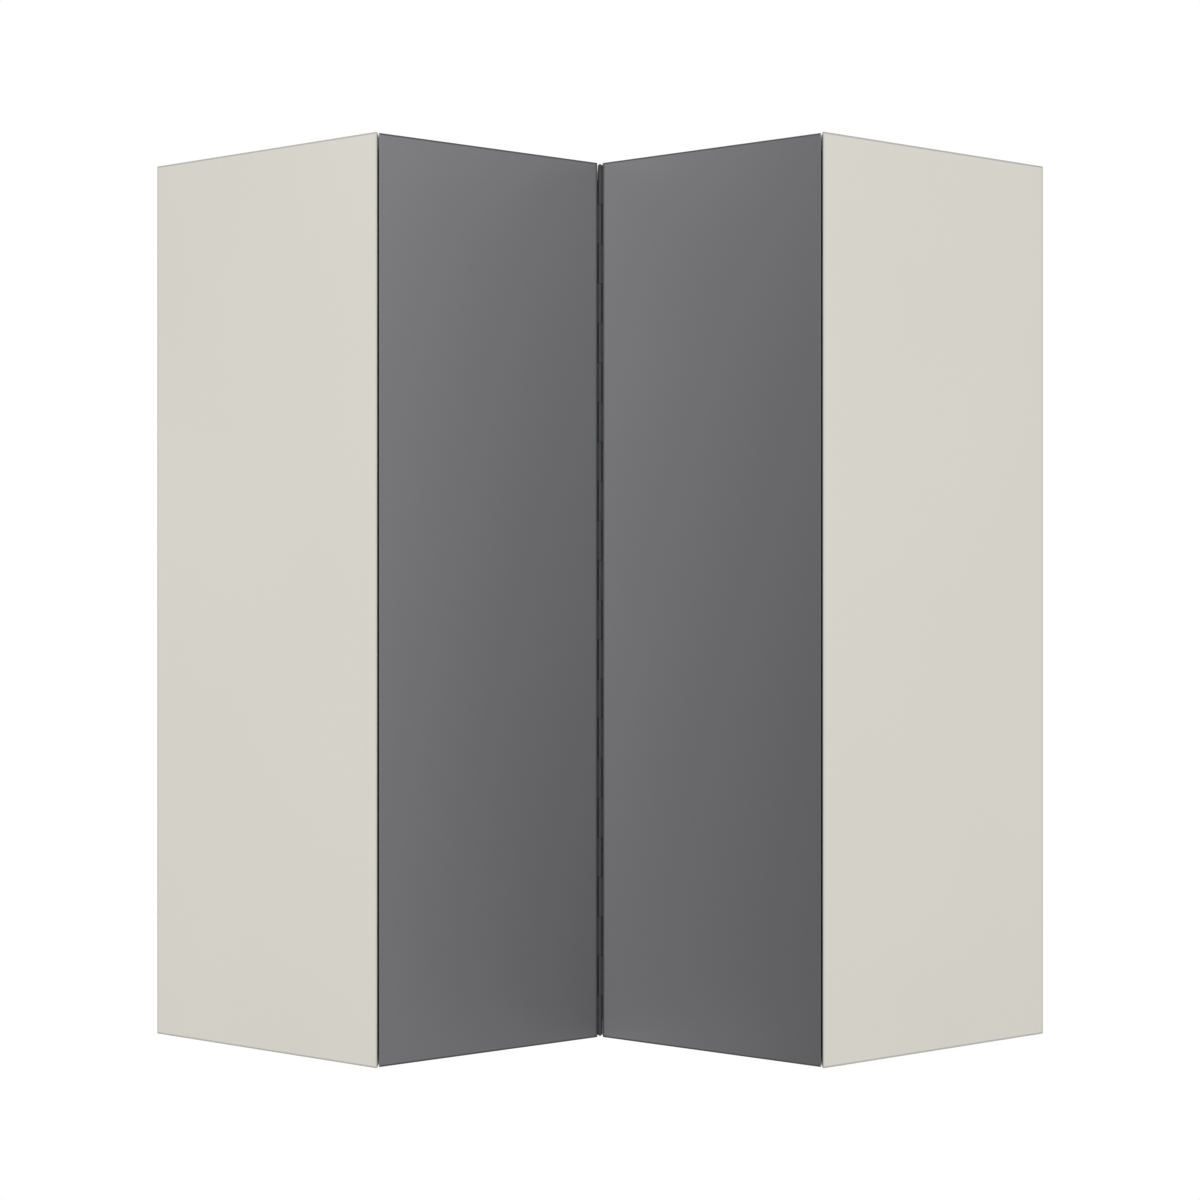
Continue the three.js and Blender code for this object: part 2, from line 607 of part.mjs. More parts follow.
// The strip on the right door has the odd knuckles and the one on the left door the even ones.
function hingeStrip(parity) {
  const face = DEPTH + CORNER_GAP;
  const parts = [];
  const inner = face - SEAT - STRIP_THICKNESS;
  const full = block([inner, face - SEAT], [-DEPTH + KNUCKLE_RADIUS + 0.6, -DOOR_BACK], STRIP_Z);
  parts.push(full);
  const bores = [];
  for (let k = parity; k < KNUCKLES; k += 2) {
    const z = [STRIP_Z[0] + k * KNUCKLE_LENGTH + FIT / 2, STRIP_Z[0] + (k + 1) * KNUCKLE_LENGTH - FIT / 2];
    parts.push(rod('z', KNUCKLE_RADIUS, z, [DEPTH, -DEPTH], 12));
    parts.push(block([inner, face - SEAT], [-DEPTH, -DEPTH + KNUCKLE_RADIUS + 1], z));
    bores.push(rod('z', KNUCKLE_PIN_RADIUS + FIT / 2, [z[0] - 1, z[1] + 1], [DEPTH, -DEPTH], 8));
  }
  return cut(union(...parts), ...bores);
}

// ---------------------------------------------------------------- latch and bumpers

const LATCH_X = INNER_FACE - LATCH_INSET;
const LATCH_Z = HEIGHT - BOARD - LATCH_HEIGHT / 2;
const LATCH_FRONT = -CARCASE_FRONT + 1;
const PLUNGER_TIP = -DOOR_BACK + CATCH_THICKNESS + FIT;
const LATCH_BACK_WALL = 6;
const EARS = { reach: 17, start: 40, end: 52, thickness: 3 };       // start and end from the front
const EAR_HOLE = { radius: 1.7, inset: 4 };
const MAGNET = { radius: 2.6, length: 8, reach: 0.6 };      // reach is how far it stands proud
const CATCH_RADIUS = 9;
const CATCH_SCREW_RADIUS = 1.8;

// The housing: a barrel under a flat saddle, with an ear for a screw on each side.
function latchHousing() {
  const along = [LATCH_FRONT, LATCH_FRONT + LATCH_LENGTH];
  const top = HEIGHT - BOARD - SEAT;
  const barrel = rod('y', LATCH_HEIGHT / 2 - SEAT, along, [LATCH_X, LATCH_Z], 16);
  const saddle = block([LATCH_X - LATCH_WIDTH / 2, LATCH_X + LATCH_WIDTH / 2], along, [LATCH_Z, top]);
  const middle = LATCH_FRONT + (EARS.start + EARS.end) / 2;
  const ears = block([LATCH_X - EARS.reach, LATCH_X + EARS.reach],
    [LATCH_FRONT + EARS.start, LATCH_FRONT + EARS.end], [top - EARS.thickness, top]);
  const holes = [-1, 1].map((side) => rod('z', EAR_HOLE.radius, [top - EARS.thickness - 1, top + 1],
    [LATCH_X + side * (EARS.reach - EAR_HOLE.inset), middle], 8));
  const bore = rod('y', PLUNGER_RADIUS + FIT,
    [LATCH_FRONT - 1, LATCH_FRONT + LATCH_LENGTH - LATCH_BACK_WALL], [LATCH_X, LATCH_Z], 16);
  return cut(union(barrel, saddle, ears), bore, ...holes);
}

// The plunger carries a magnet in its end, which holds the catch plate on the door.
function latchPlunger() {
  const shaft = rod('y', PLUNGER_RADIUS, [PLUNGER_TIP + MAGNET.reach, PLUNGER_TIP + PLUNGER_LENGTH],
    [LATCH_X, LATCH_Z], 16);
  const socket = rod('y', MAGNET.radius + FIT, [PLUNGER_TIP - 1, PLUNGER_TIP + MAGNET.length + SEAT],
    [LATCH_X, LATCH_Z], 12);
  return cut(shaft, socket);
}

function latchMagnet() {
  return rod('y', MAGNET.radius, [PLUNGER_TIP, PLUNGER_TIP + MAGNET.length], [LATCH_X, LATCH_Z], 12);
}

function catchPlate() {
  const disc = rod('y', CATCH_RADIUS, [-DOOR_BACK + SEAT, -DOOR_BACK + CATCH_THICKNESS],
    [LATCH_X, LATCH_Z], 20);
  const screw = rod('y', CATCH_SCREW_RADIUS, [-DOOR_BACK - 1, -DOOR_BACK + CATCH_THICKNESS + 1],
    [LATCH_X, LATCH_Z], 12);
  return cut(disc, screw);
}

const BUMPER_INSET = 24;        // from the side panel's inner face
const BUMPER_RADIUS = 4;
const BUMPER_THICKNESS = DOOR_GAP - FIT;

// A domed pad on the door's back, turned about the y axis.
function bumper(z) {
  const section = [
    [0, SEAT],
    [BUMPER_RADIUS, SEAT],
    [BUMPER_RADIUS, BUMPER_THICKNESS * 0.55],
    [BUMPER_RADIUS * 0.8, BUMPER_THICKNESS * 0.88],
    [0, BUMPER_THICKNESS],
  ].map(([r, y]) => new THREE.Vector2(r, y));
  const dome = solidOf(new THREE.LatheGeometry(section, 12));
  return dome.translate([INNER_FACE - BUMPER_INSET, -DOOR_BACK, z]);
}

// ---------------------------------------------------------------- assembly

// The right back panel runs past the left one into the corner of the room.
const BACK_STARTS = { right: BACK_RECESS, left: BACK_FACE + SEAT };

for (const [side, wing] of WINGS) {
  wing.add(piece(`${side}_side_panel`, sidePanel(), carcaseBoard()));
  wing.add(piece(`${side}_back_panel`, backPanel(BACK_STARTS[side]), backBoard()));
  wing.add(piece(`${side}_hanger_housing`, hangerHousing(), greyPlastic()));
  wing.add(piece(`${side}_hanger_hook`, hangerHook(), nickel()));
  wing.add(piece(`${side}_wall_plate`, wallPlate(), nickel()));
}

cabinet.add(piece('bottom_panel', endPanel(0, BOARD - GROOVE_DEPTH), carcaseBoard()));
cabinet.add(piece('top_panel', endPanel(HEIGHT - BOARD, HEIGHT - BOARD - 1), carcaseBoard()));
cabinet.add(piece('corner_post', cornerPost(), carcaseBoard()));

SHELF_HEIGHTS.forEach((z, i) => {
  const level = i === 0 ? 'lower' : 'upper';
  cabinet.add(piece(`${level}_shelf`, shelf(z), carcaseBoard()));
  for (const [side, wing] of WINGS) {
    pinRows().forEach((y, row) => {
      const place = row === 0 ? 'front' : 'rear';
      wing.add(piece(`${level}_${side}_${place}_pin`, shelfPin(INNER_FACE, 1, y, z), nickel()));
    });
  }
  const postFace = BACK_FACE + POST_WIDTH;
  const middle = -BACK_FACE - POST_WIDTH / 2;
  cabinet.add(piece(`${level}_post_pin`, shelfPin(postFace, -1, middle, z), nickel()));
});

rightWing.add(piece('right_door', door([]), doorLacquer()));
leftWing.add(piece('left_door', door(HINGE_HEIGHTS), doorLacquer()));

['bottom', 'middle', 'top'].forEach((level, i) => {
  const hinge = new THREE.Group();
  hinge.position.z = HINGE_HEIGHTS[i];
  hingeFrame.add(hinge);
  hinge.add(piece(`${level}_hinge_plate`, hingePlate(), nickel()));
  hinge.add(piece(`${level}_hinge_arm`, hingeArm(), nickel()));
  hinge.add(piece(`${level}_hinge_front_link`, hingeLink(ARM_PINS[0], -1), nickel()));
  hinge.add(piece(`${level}_hinge_rear_link`, hingeLink(ARM_PINS[1], -2), nickel()));
  hinge.add(piece(`${level}_hinge_front_coupler`, coupler(CUP_PINS[0], 0, true), nickel()));
  hinge.add(piece(`${level}_hinge_rear_coupler`, coupler(CUP_PINS[1], 1, false), nickel()));
  hinge.add(piece(`${level}_hinge_cup`, hingeCup(), nickel()));
});

rightWing.add(piece('corner_hinge_right_strip', hingeStrip(1), darkSteel()));
leftWing.add(piece('corner_hinge_left_strip', hingeStrip(0), darkSteel()));
cabinet.add(piece('corner_hinge_pin',
  rod('z', KNUCKLE_PIN_RADIUS, [STRIP_Z[0] - 1, STRIP_Z[1] + 1], [DEPTH, -DEPTH], 12), darkSteel()));

rightWing.add(piece('latch_housing', latchHousing(), greyPlastic()));
rightWing.add(piece('latch_plunger', latchPlunger(), greyPlastic()));
rightWing.add(piece('latch_magnet', latchMagnet(), nickel()));
rightWing.add(piece('latch_catch_plate', catchPlate(), nickel()));
rightWing.add(piece('bottom_bumper', bumper(BOARD / 2), clearRubber()));
rightWing.add(piece('top_bumper', bumper(HEIGHT - BOARD / 2), clearRubber()));

export default cabinet;
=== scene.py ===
"""Dresses the corner wall cabinet: finishes, edge bands, screws and studio light.

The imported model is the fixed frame. Every part is shown as a merged copy of its own solid with
softened edges. Screw heads and edge bands are computed here as surfaces. All lengths are metres.
"""

from __future__ import annotations

import json
import logging
import math
from dataclasses import dataclass
from enum import Enum
from typing import Iterable, Sequence

import bmesh
import bpy
import numpy as np
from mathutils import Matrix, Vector

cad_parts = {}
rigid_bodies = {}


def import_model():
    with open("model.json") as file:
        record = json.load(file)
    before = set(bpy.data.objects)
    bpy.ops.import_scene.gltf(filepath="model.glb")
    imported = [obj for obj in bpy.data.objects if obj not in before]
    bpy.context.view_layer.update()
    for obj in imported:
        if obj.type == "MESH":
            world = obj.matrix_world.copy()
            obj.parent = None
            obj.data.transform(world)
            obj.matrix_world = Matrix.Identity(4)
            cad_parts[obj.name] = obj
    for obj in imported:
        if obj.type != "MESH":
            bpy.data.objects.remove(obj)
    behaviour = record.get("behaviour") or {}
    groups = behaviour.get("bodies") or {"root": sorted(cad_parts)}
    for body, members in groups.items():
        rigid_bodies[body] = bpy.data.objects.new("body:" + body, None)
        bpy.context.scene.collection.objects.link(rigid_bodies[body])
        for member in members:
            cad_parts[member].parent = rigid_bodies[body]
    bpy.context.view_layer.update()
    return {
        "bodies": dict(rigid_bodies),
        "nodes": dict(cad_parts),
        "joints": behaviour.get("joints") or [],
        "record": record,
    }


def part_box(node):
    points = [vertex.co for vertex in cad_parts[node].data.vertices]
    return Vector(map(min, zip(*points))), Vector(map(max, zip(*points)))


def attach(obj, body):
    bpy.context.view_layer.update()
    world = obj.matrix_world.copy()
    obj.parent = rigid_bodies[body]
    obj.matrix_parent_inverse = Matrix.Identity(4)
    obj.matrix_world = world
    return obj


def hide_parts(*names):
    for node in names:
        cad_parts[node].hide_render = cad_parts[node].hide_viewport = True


LOG = logging.getLogger("corner_cabinet")
MM = 0.001
GRID_MERGE = 0.0001 * MM
SOLID_MERGE = 0.001 * MM
FLAT_ANGLE = math.radians(0.4)
FLAT_FACE_WEIGHT = 80
SHARP_ANGLE = math.radians(38.0)
ROUNDING_STEPS = 2
BAND_TURN_POINTS = 5
SAME_WAY = 0.999
TOWARDS = 0.9

Array = np.ndarray
Colour = tuple[float, float, float]


class Body(Enum):
    """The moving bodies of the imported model."""

    CARCASE = "carcase"
    LEFT_LEAF = "left_leaf"
    RIGHT_LEAF = "right_leaf"
    FRONT_LINKS = "front_links"
    REAR_LINKS = "rear_links"
    FRONT_COUPLERS = "front_couplers"
    REAR_COUPLERS = "rear_couplers"
    PLUNGER = "plunger"


class Slot(Enum):
    """The record's material slots."""

    CARCASE_BOARD = "carcase_board"
    BACK_BOARD = "back_board"
    DOOR_LACQUER = "door_lacquer"
    NICKEL = "nickel"
    STEEL = "steel"
    DARK_STEEL = "dark_steel"
    GREY_PLASTIC = "grey_plastic"
    SOFT_BUMPER = "soft_bumper"


def srgb(red: int, green: int, blue: int) -> Colour:
    """Linear colour of an 8-bit display colour.

    Args:
        red: 0 to 255.
        green: 0 to 255.
        blue: 0 to 255.

    Returns:
        The three linear channels.
    """
    share = np.array([red, green, blue]) / 255.0
    linear = np.where(share <= 0.04045, share / 12.92, ((share + 0.055) / 1.055) ** 2.4)
    return tuple(float(channel) for channel in linear)


def toned(colour: Colour, factor: float) -> Colour:
    """A colour made lighter or deeper by a factor."""
    return tuple(channel * factor for channel in colour)


# ---------------------------------------------------------------- finishes


class Graph:
    """A material's node tree with short calls for adding and linking nodes."""

    def __init__(self, name: str) -> None:
        """Starts a material that holds only its output and a Principled shader.

        Args:
            name: the material's name.
        """
        self.material = bpy.data.materials.new(name)
        self.material.use_nodes = True
        self.tree = self.material.node_tree
        self.shader = self.tree.nodes["Principled BSDF"]
        self.coordinates = self.node("ShaderNodeTexCoord").outputs["Object"]

    def node(self, kind: str, **settings: object) -> bpy.types.Node:
        """Adds a node and sets its properties.

        Args:
            kind: Blender's node type.
            **settings: properties of the node by name.

        Returns:
            The new node.
        """
        made = self.tree.nodes.new(kind)
        for key, value in settings.items():
            setattr(made, key, value)
        return made

    def link(self, source: bpy.types.NodeSocket, target: bpy.types.NodeSocket) -> None:
        """Joins an output to an input."""
        self.tree.links.new(source, target)

    def scaled(self, scale: Sequence[float]) -> bpy.types.NodeSocket:
        """Object coordinates stretched by a factor along each axis.

        Args:
            scale: the three factors.

        Returns:
            The stretched coordinates' output.
        """
        mapping = self.node("ShaderNodeMapping")
        mapping.inputs["Scale"].default_value = tuple(scale)
        self.link(self.coordinates, mapping.inputs["Vector"])
        return mapping.outputs["Vector"]

    def noise(self, scale: float, detail: float = 2.0,
              vector: bpy.types.NodeSocket | None = None) -> bpy.types.NodeSocket:
        """A noise field.

        Args:
            scale: waves per metre.
            detail: octaves.
            vector: coordinates, or None for Object coordinates.

        Returns:
            The field's factor output.
        """
        made = self.node("ShaderNodeTexNoise")
        made.inputs["Scale"].default_value = scale
        made.inputs["Detail"].default_value = detail
        self.link(vector or self.coordinates, made.inputs["Vector"])
        return made.outputs["Fac"]

    def ranged(self, value: bpy.types.NodeSocket, low: float, high: float,
               source: tuple[float, float] = (0.3, 0.7)) -> bpy.types.NodeSocket:
        """Maps a field from a source range to low..high and clamps it.

        Args:
            value: the field.
            low: result at the start of the source range.
            high: result at its end.
            source: the field's values that give low and high.

        Returns:
            The mapped field's output.
        """
        made = self.node("ShaderNodeMapRange")
        made.inputs["From Min"].default_value = source[0]
        made.inputs["From Max"].default_value = source[1]
        made.inputs["To Min"].default_value = low
        made.inputs["To Max"].default_value = high
        self.link(value, made.inputs["Value"])
        return made.outputs["Result"]

    def mixed(self, share: bpy.types.NodeSocket, first: Colour | bpy.types.NodeSocket,
              second: Colour | bpy.types.NodeSocket) -> bpy.types.NodeSocket:
        """A colour between two others.

        Args:
            share: 0 for the first, 1 for the second.
            first: a colour or an output.
            second: a colour or an output.

        Returns:
            The mixed colour's output.
        """
        made = self.node("ShaderNodeMix", data_type="RGBA")
        self.link(share, made.inputs["Factor"])
        for socket, colour in ((made.inputs["A"], first), (made.inputs["B"], second)):
            if isinstance(colour, tuple):
                socket.default_value = (*colour, 1.0)
            else:
                self.link(colour, socket)
        return made.outputs["Result"]

    def bump(self, height: bpy.types.NodeSocket, strength: float, distance: float) -> None:
        """Gives the shader a bumped normal.

        Args:
            height: the height field.
            strength: share of the effect.
            distance: depth of the full height, in metres.
        """
        made = self.node("ShaderNodeBump")
        made.inputs["Strength"].default_value = strength
        made.inputs["Distance"].default_value = distance
        self.link(height, made.inputs["Height"])
        self.link(made.outputs["Normal"], self.shader.inputs["Normal"])

    def coordinate(self, axis: str) -> bpy.types.NodeSocket:
        """The object coordinate along an axis.

        Args:
            axis: X, Y or Z.

        Returns:
            The coordinate's output, in metres.
        """
        split = self.node("ShaderNodeSeparateXYZ")
        self.link(self.coordinates, split.inputs["Vector"])
        return split.outputs[axis]

    def beyond(self, axis: str, limit: float, below: bool = False) -> bpy.types.NodeSocket:
        """A mask that is 1 on one side of a plane square to an axis.

        Args:
            axis: X, Y or Z.
            limit: the plane's coordinate, in metres.
            below: whether the mask is 1 below the limit and not above it.

        Returns:
            The mask's output.
        """
        test = self.node("ShaderNodeMath", operation="LESS_THAN" if below else "GREATER_THAN")
        self.link(self.coordinate(axis), test.inputs[0])
        test.inputs[1].default_value = limit
        return test.outputs["Value"]

    def together(self, operation: str, first: bpy.types.NodeSocket,
                 second: bpy.types.NodeSocket) -> bpy.types.NodeSocket:
        """Two values joined by one operation.

        Args:
            operation: ADD for a sum, MAXIMUM for the union of two masks.
            first: the first value.
            second: the second value.

        Returns:
            The result's output.
        """
        made = self.node("ShaderNodeMath", operation=operation)
        self.link(first, made.inputs[0])
        self.link(second, made.inputs[1])
        return made.outputs["Value"]


@dataclass(frozen=True)
class Grain:
    """A fine noise that varies the gloss and bumps the surface.

    The scale is in waves per metre and the detail in octaves. Smoother and rougher are the reach
    of the roughness below and above the finish's own. The depth is that of the full bump.
    """

    scale: float
    detail: float
    smoother: float
    rougher: float
    strength: float
    depth: float


@dataclass(frozen=True)
class Finish:
    """A surface finish. Each kind builds its own node graph once."""

    name: str
    slot: Slot
    colour: Colour
    roughness: float

    def material(self) -> bpy.types.Material:
        """The finish's material, made on first use.

        Returns:
            The material, shared by every piece with this finish.
        """
        found = bpy.data.materials.get(self.name)
        if found:
            return found
        graph = Graph(self.name)
        graph.shader.inputs["Base Color"].default_value = (*self.colour, 1.0)
        self.dress(graph)
        return graph.material

    def dress(self, graph: Graph) -> None:
        """Adds the pattern, roughness and bump of this kind of finish."""
        raise NotImplementedError

    def clouded(self, graph: Graph, scale: float, tones: tuple[float, float],
                detail: float = 2.0) -> bpy.types.NodeSocket:
        """The finish's colour, drifting between two tones by slow noise.

        Args:
            graph: the material's graph.
            scale: waves per metre.
            tones: factors on the colour at both ends.
            detail: octaves.

        Returns:
            The clouded colour's output.
        """
        share = graph.ranged(graph.noise(scale, detail), 0.0, 1.0)
        return graph.mixed(share, toned(self.colour, tones[0]), toned(self.colour, tones[1]))

    def glossed(self, graph: Graph, pattern: bpy.types.NodeSocket, smoother: float,
                rougher: float) -> None:
        """Varies the roughness about the finish's own by a noise field."""
        roughness = graph.ranged(pattern, self.roughness - smoother, self.roughness + rougher)
        graph.link(roughness, graph.shader.inputs["Roughness"])

    def grained(self, graph: Graph, grain: Grain,
                vector: bpy.types.NodeSocket | None = None) -> None:
        """Varies the gloss and bumps the surface by one fine noise.

        Args:
            graph: the material's graph.
            grain: the noise and how strongly it shows.
            vector: coordinates, or None for Object coordinates.
        """
        fine = graph.noise(grain.scale, grain.detail, vector)
        self.glossed(graph, fine, grain.smoother, grain.rougher)
        graph.bump(fine, grain.strength, grain.depth)


@dataclass(frozen=True)
class Melamine(Finish):
    """Matt paper-faced chipboard with a fine pearl emboss; raw core on the edges at the walls."""

    core: Colour = srgb(176, 148, 108)
    core_dark: Colour = srgb(128, 98, 62)
    chip_scale: float = 420.0
    chip_stretch: tuple[float, float, float] = (1.0, 1.0, 0.45)
    wall_edge: float = 0.3 * MM
    cloud_scale: float = 3.0
    cloud_tones: tuple[float, float] = (0.99, 1.01)
    emboss: Grain = Grain(scale=1300.0, detail=3.0, smoother=0.05, rougher=0.06,
                          strength=0.25, depth=0.05 * MM)

    def dress(self, graph: Graph) -> None:
        """Tints by slow noise, embosses by fine noise and shows chips on the wall edges.

        Args:
            graph: the material's graph.
        """
        face = self.clouded(graph, self.cloud_scale, self.cloud_tones)
        chips = graph.node("ShaderNodeTexVoronoi")
        chips.inputs["Scale"].default_value = self.chip_scale
        graph.link(graph.scaled(self.chip_stretch), chips.inputs["Vector"])
        grey = graph.node("ShaderNodeRGBToBW")
        graph.link(chips.outputs["Color"], grey.inputs["Color"])
        core = graph.mixed(grey.outputs["Val"], self.core_dark, self.core)
        raw = graph.together("MAXIMUM", graph.beyond("Y", -self.wall_edge),
                             graph.beyond("X", self.wall_edge, below=True))
        graph.link(graph.mixed(raw, face, core), graph.shader.inputs["Base Color"])
        self.grained(graph, self.emboss)


@dataclass(frozen=True)
class Fibreboard(Finish):
    """A coated back panel whose wall side is bare brown fibreboard."""

    fibre: Colour = srgb(142, 104, 68)
    fibre_dark: Colour = srgb(116, 80, 50)
    fibre_scale: float = 260.0
    fibre_detail: float = 5.0
    fibre_stretch: tuple[float, float, float] = (1.0, 1.0, 0.6)
    wall_side: float = 18.3 * MM
    cloud_scale: float = 4.0
    cloud_tones: tuple[float, float] = (0.985, 1.0)
    coating: Grain = Grain(scale=1100.0, detail=3.0, smoother=0.06, rougher=0.06,
                           strength=0.3, depth=0.06 * MM)

    def dress(self, graph: Graph) -> None:
        """Mottles the bare side by stretched noise and leaves the coated side plain.

        Args:
            graph: the material's graph.
        """
        stretched = graph.scaled(self.fibre_stretch)
        mottle = graph.ranged(graph.noise(self.fibre_scale, self.fibre_detail, stretched), 0.0, 1.0)
        bare = graph.mixed(mottle, self.fibre_dark, self.fibre)
        rear = graph.together("MAXIMUM", graph.beyond("Y", -self.wall_side),
                              graph.beyond("X", self.wall_side, below=True))
        face = self.clouded(graph, self.cloud_scale, self.cloud_tones)
        graph.link(graph.mixed(rear, face, bare), graph.shader.inputs["Base Color"])
        self.grained(graph, self.coating)


@dataclass(frozen=True)
class Lacquer(Finish):
    """Sprayed satin lacquer with a faint orange peel, and painted shade that deepens across and
    down a leaf.
    """

    across: str = "X"
    span: tuple[float, float] = (353 * MM, 650 * MM)
    rise: tuple[float, float] = (898.5 * MM, 1.5 * MM)
    # Painted shade: the colour deepens by these shares across and down the leaf, in place of light
    # falling off.
    painted_shade_across: float = 0.25
    painted_shade_down: float = 0.12
    clouding: float = 0.012
    cloud_scale: float = 5.0
    cloud_detail: float = 3.0
    specular: float = 0.3
    gloss_scale: float = 60.0
    gloss_detail: float = 4.0
    smoother: float = 0.03
    rougher: float = 0.04
    peel_scale: float = 330.0
    peel_detail: float = 1.0
    peel_strength: float = 0.10
    peel_depth: float = 0.03 * MM

    def dress(self, graph: Graph) -> None:
        """Paints shade over the leaf, clouds it and the gloss slowly, and bumps a soft peel.

        The painted shade's share is the sum of the shares of the leaf's width and height that lie
        before a point, each weighted by its own deepening. It stands for light that falls off
        across the leaf and downwards.

        Args:
            graph: the material's graph.
        """
        graph.shader.inputs["Specular IOR Level"].default_value = self.specular
        reach = self.painted_shade_across + self.painted_shade_down
        across = graph.ranged(graph.coordinate(self.across), 0.0, self.painted_shade_across / reach,
                              self.span)
        down = graph.ranged(graph.coordinate("Z"), 0.0, self.painted_shade_down / reach, self.rise)
        share = graph.together("ADD", across, down)
        # The light and deep ends of the painted shade, each with its slow cloud.
        painted_shade_tints = [graph.mixed(share, toned(self.colour, cloud * (1 + reach)),
                             toned(self.colour, cloud * (1 - reach)))
                 for cloud in (1 - self.clouding, 1 + self.clouding)]
        slow = graph.ranged(graph.noise(self.cloud_scale, self.cloud_detail), 0.0, 1.0)
        graph.link(graph.mixed(slow, *painted_shade_tints), graph.shader.inputs["Base Color"])
        gloss = graph.noise(self.gloss_scale, self.gloss_detail)
        self.glossed(graph, gloss, self.smoother, self.rougher)
        peel = graph.noise(self.peel_scale, self.peel_detail)
        graph.bump(peel, self.peel_strength, self.peel_depth)


@dataclass(frozen=True)
class Metal(Finish):
    """Plated or coated steel with drawing marks along the height."""

    metallic: float = 1.0
    specular: float = 0.5
    streaks: tuple[float, float, float] = (1.0, 1.0, 0.06)
    mottle: float = 0.06
    mottle_scale: float = 90.0
    mottle_detail: float = 3.0
    drawn: Grain = Grain(scale=1500.0, detail=4.0, smoother=0.07, rougher=0.1,
                         strength=0.08, depth=0.02 * MM)

    def dress(self, graph: Graph) -> None:
        """Varies roughness by stretched noise and tint by a slow one.

        Args:
            graph: the material's graph.
        """
        graph.shader.inputs["Metallic"].default_value = self.metallic
        graph.shader.inputs["Specular IOR Level"].default_value = self.specular
        tint = self.clouded(graph, self.mottle_scale, (1 - self.mottle, 1.0), self.mottle_detail)
        graph.link(tint, graph.shader.inputs["Base Color"])
        self.grained(graph, self.drawn, graph.scaled(self.streaks))


@dataclass(frozen=True)
class Plastic(Finish):
    """Injection-moulded plastic with a spark-eroded grain."""

    clearness: float = 0.0
    cloud_scale: float = 40.0
    cloud_tones: tuple[float, float] = (0.97, 1.0)
    eroded: Grain = Grain(scale=2200.0, detail=2.0, smoother=0.05, rougher=0.08,
                          strength=0.15, depth=0.03 * MM)

    def dress(self, graph: Graph) -> None:
        """Grains the surface by fine noise; clear kinds let some light through.

        Args:
            graph: the material's graph.
        """
        graph.shader.inputs["Transmission Weight"].default_value = self.clearness
        graph.link(self.clouded(graph, self.cloud_scale, self.cloud_tones),
                   graph.shader.inputs["Base Color"])
        self.grained(graph, self.eroded)


CARCASE_MELAMINE = Melamine("warm_grey_melamine", Slot.CARCASE_BOARD, srgb(213, 210, 201), 0.55)
BACK_BOARD = Fibreboard("coated_fibreboard", Slot.BACK_BOARD, srgb(214, 211, 203), 0.6)
DOOR_GREY = srgb(106, 106, 108)
# Both leaves carry painted shade, lighter at the top left and deeper at the bottom right.
LEFT_LACQUER_PAINTED_SHADE = Lacquer("satin_grey_lacquer_left_painted_shade", Slot.DOOR_LACQUER, DOOR_GREY, 0.42,
                       across="Y", span=(-650 * MM, -353 * MM), painted_shade_across=0.12)
RIGHT_LACQUER_PAINTED_SHADE = Lacquer("satin_grey_lacquer_right_painted_shade", Slot.DOOR_LACQUER, DOOR_GREY, 0.42)
# A darker border of painted shade along the leaves' top, bottom and inner edges.
ARRIS_PAINTED_SHADE = Lacquer("satin_grey_lacquer_arris_painted_shade", Slot.DOOR_LACQUER, toned(DOOR_GREY, 0.42), 0.45,
                        painted_shade_across=0.05)
EDGE_BAND = Plastic("warm_grey_edge_band", Slot.CARCASE_BOARD, srgb(206, 203, 194), 0.42)
# A darker border of painted shade round the side panels' outer faces, standing for the shade at
# their edges.
EDGE_PAINTED_SHADE = Plastic("warm_grey_edge_painted_shade", Slot.CARCASE_BOARD, srgb(178, 176, 170), 0.5)
NICKEL = Metal("nickel_plate", Slot.NICKEL, (0.61, 0.60, 0.58), 0.26)
ZINC = Metal("zinc_plate", Slot.STEEL, (0.56, 0.58, 0.60), 0.38, mottle=0.12)
DARK_STEEL = Metal("dark_coated_steel", Slot.DARK_STEEL, srgb(40, 41, 43), 0.6, metallic=0.0,
                   specular=0.3)
GREY_PLASTIC = Plastic("light_grey_plastic", Slot.GREY_PLASTIC, srgb(201, 200, 196), 0.45)
BUMPER_RUBBER = Plastic("clear_soft_bumper", Slot.SOFT_BUMPER, srgb(222, 224, 226), 0.25,
                        clearness=0.6)


# ---------------------------------------------------------------- surfaces


def grid_mesh(name: str, points: Array, caps: bool = True) -> bpy.types.Object:
    """A mesh from a grid of points whose columns run round.

    Args:
        name: the object's name.
        points: array of shape (copies, rows, columns, 3), or (rows, columns, 3).
        caps: whether the first and last row are each closed by one face.

    Returns:
        The new object, smooth shaded, at the origin.
    """
    clouds = points[None] if points.ndim == 3 else points
    copies, rows, columns, _ = clouds.shape
    row, column = np.meshgrid(np.arange(rows - 1), np.arange(columns), indexing="ij")
    next_column = (column + 1) % columns
    quads = np.stack([row * columns + column, row * columns + next_column,
                      (row + 1) * columns + next_column, (row + 1) * columns + column], -1)
    starts = np.arange(copies)[:, None, None] * rows * columns
    faces = (quads.reshape(1, -1, 4) + starts).reshape(-1, 4).tolist()
    if caps:
        ring = np.arange(columns)
        faces += (ring[::-1][None] + starts[:, 0]).tolist()
        faces += ((rows - 1) * columns + ring[None] + starts[:, 0]).tolist()
    mesh = bpy.data.meshes.new(name)
    mesh.from_pydata(clouds.reshape(-1, 3).tolist(), [], faces)
    repair = bmesh.new()
    repair.from_mesh(mesh)
    bmesh.ops.remove_doubles(repair, verts=repair.verts, dist=GRID_MERGE)
    bmesh.ops.recalc_face_normals(repair, faces=repair.faces)
    repair.to_mesh(mesh)
    repair.free()
    mesh.polygons.foreach_set("use_smooth", np.ones(len(mesh.polygons), bool))
    made = bpy.data.objects.new(name, mesh)
    bpy.context.scene.collection.objects.link(made)
    return made


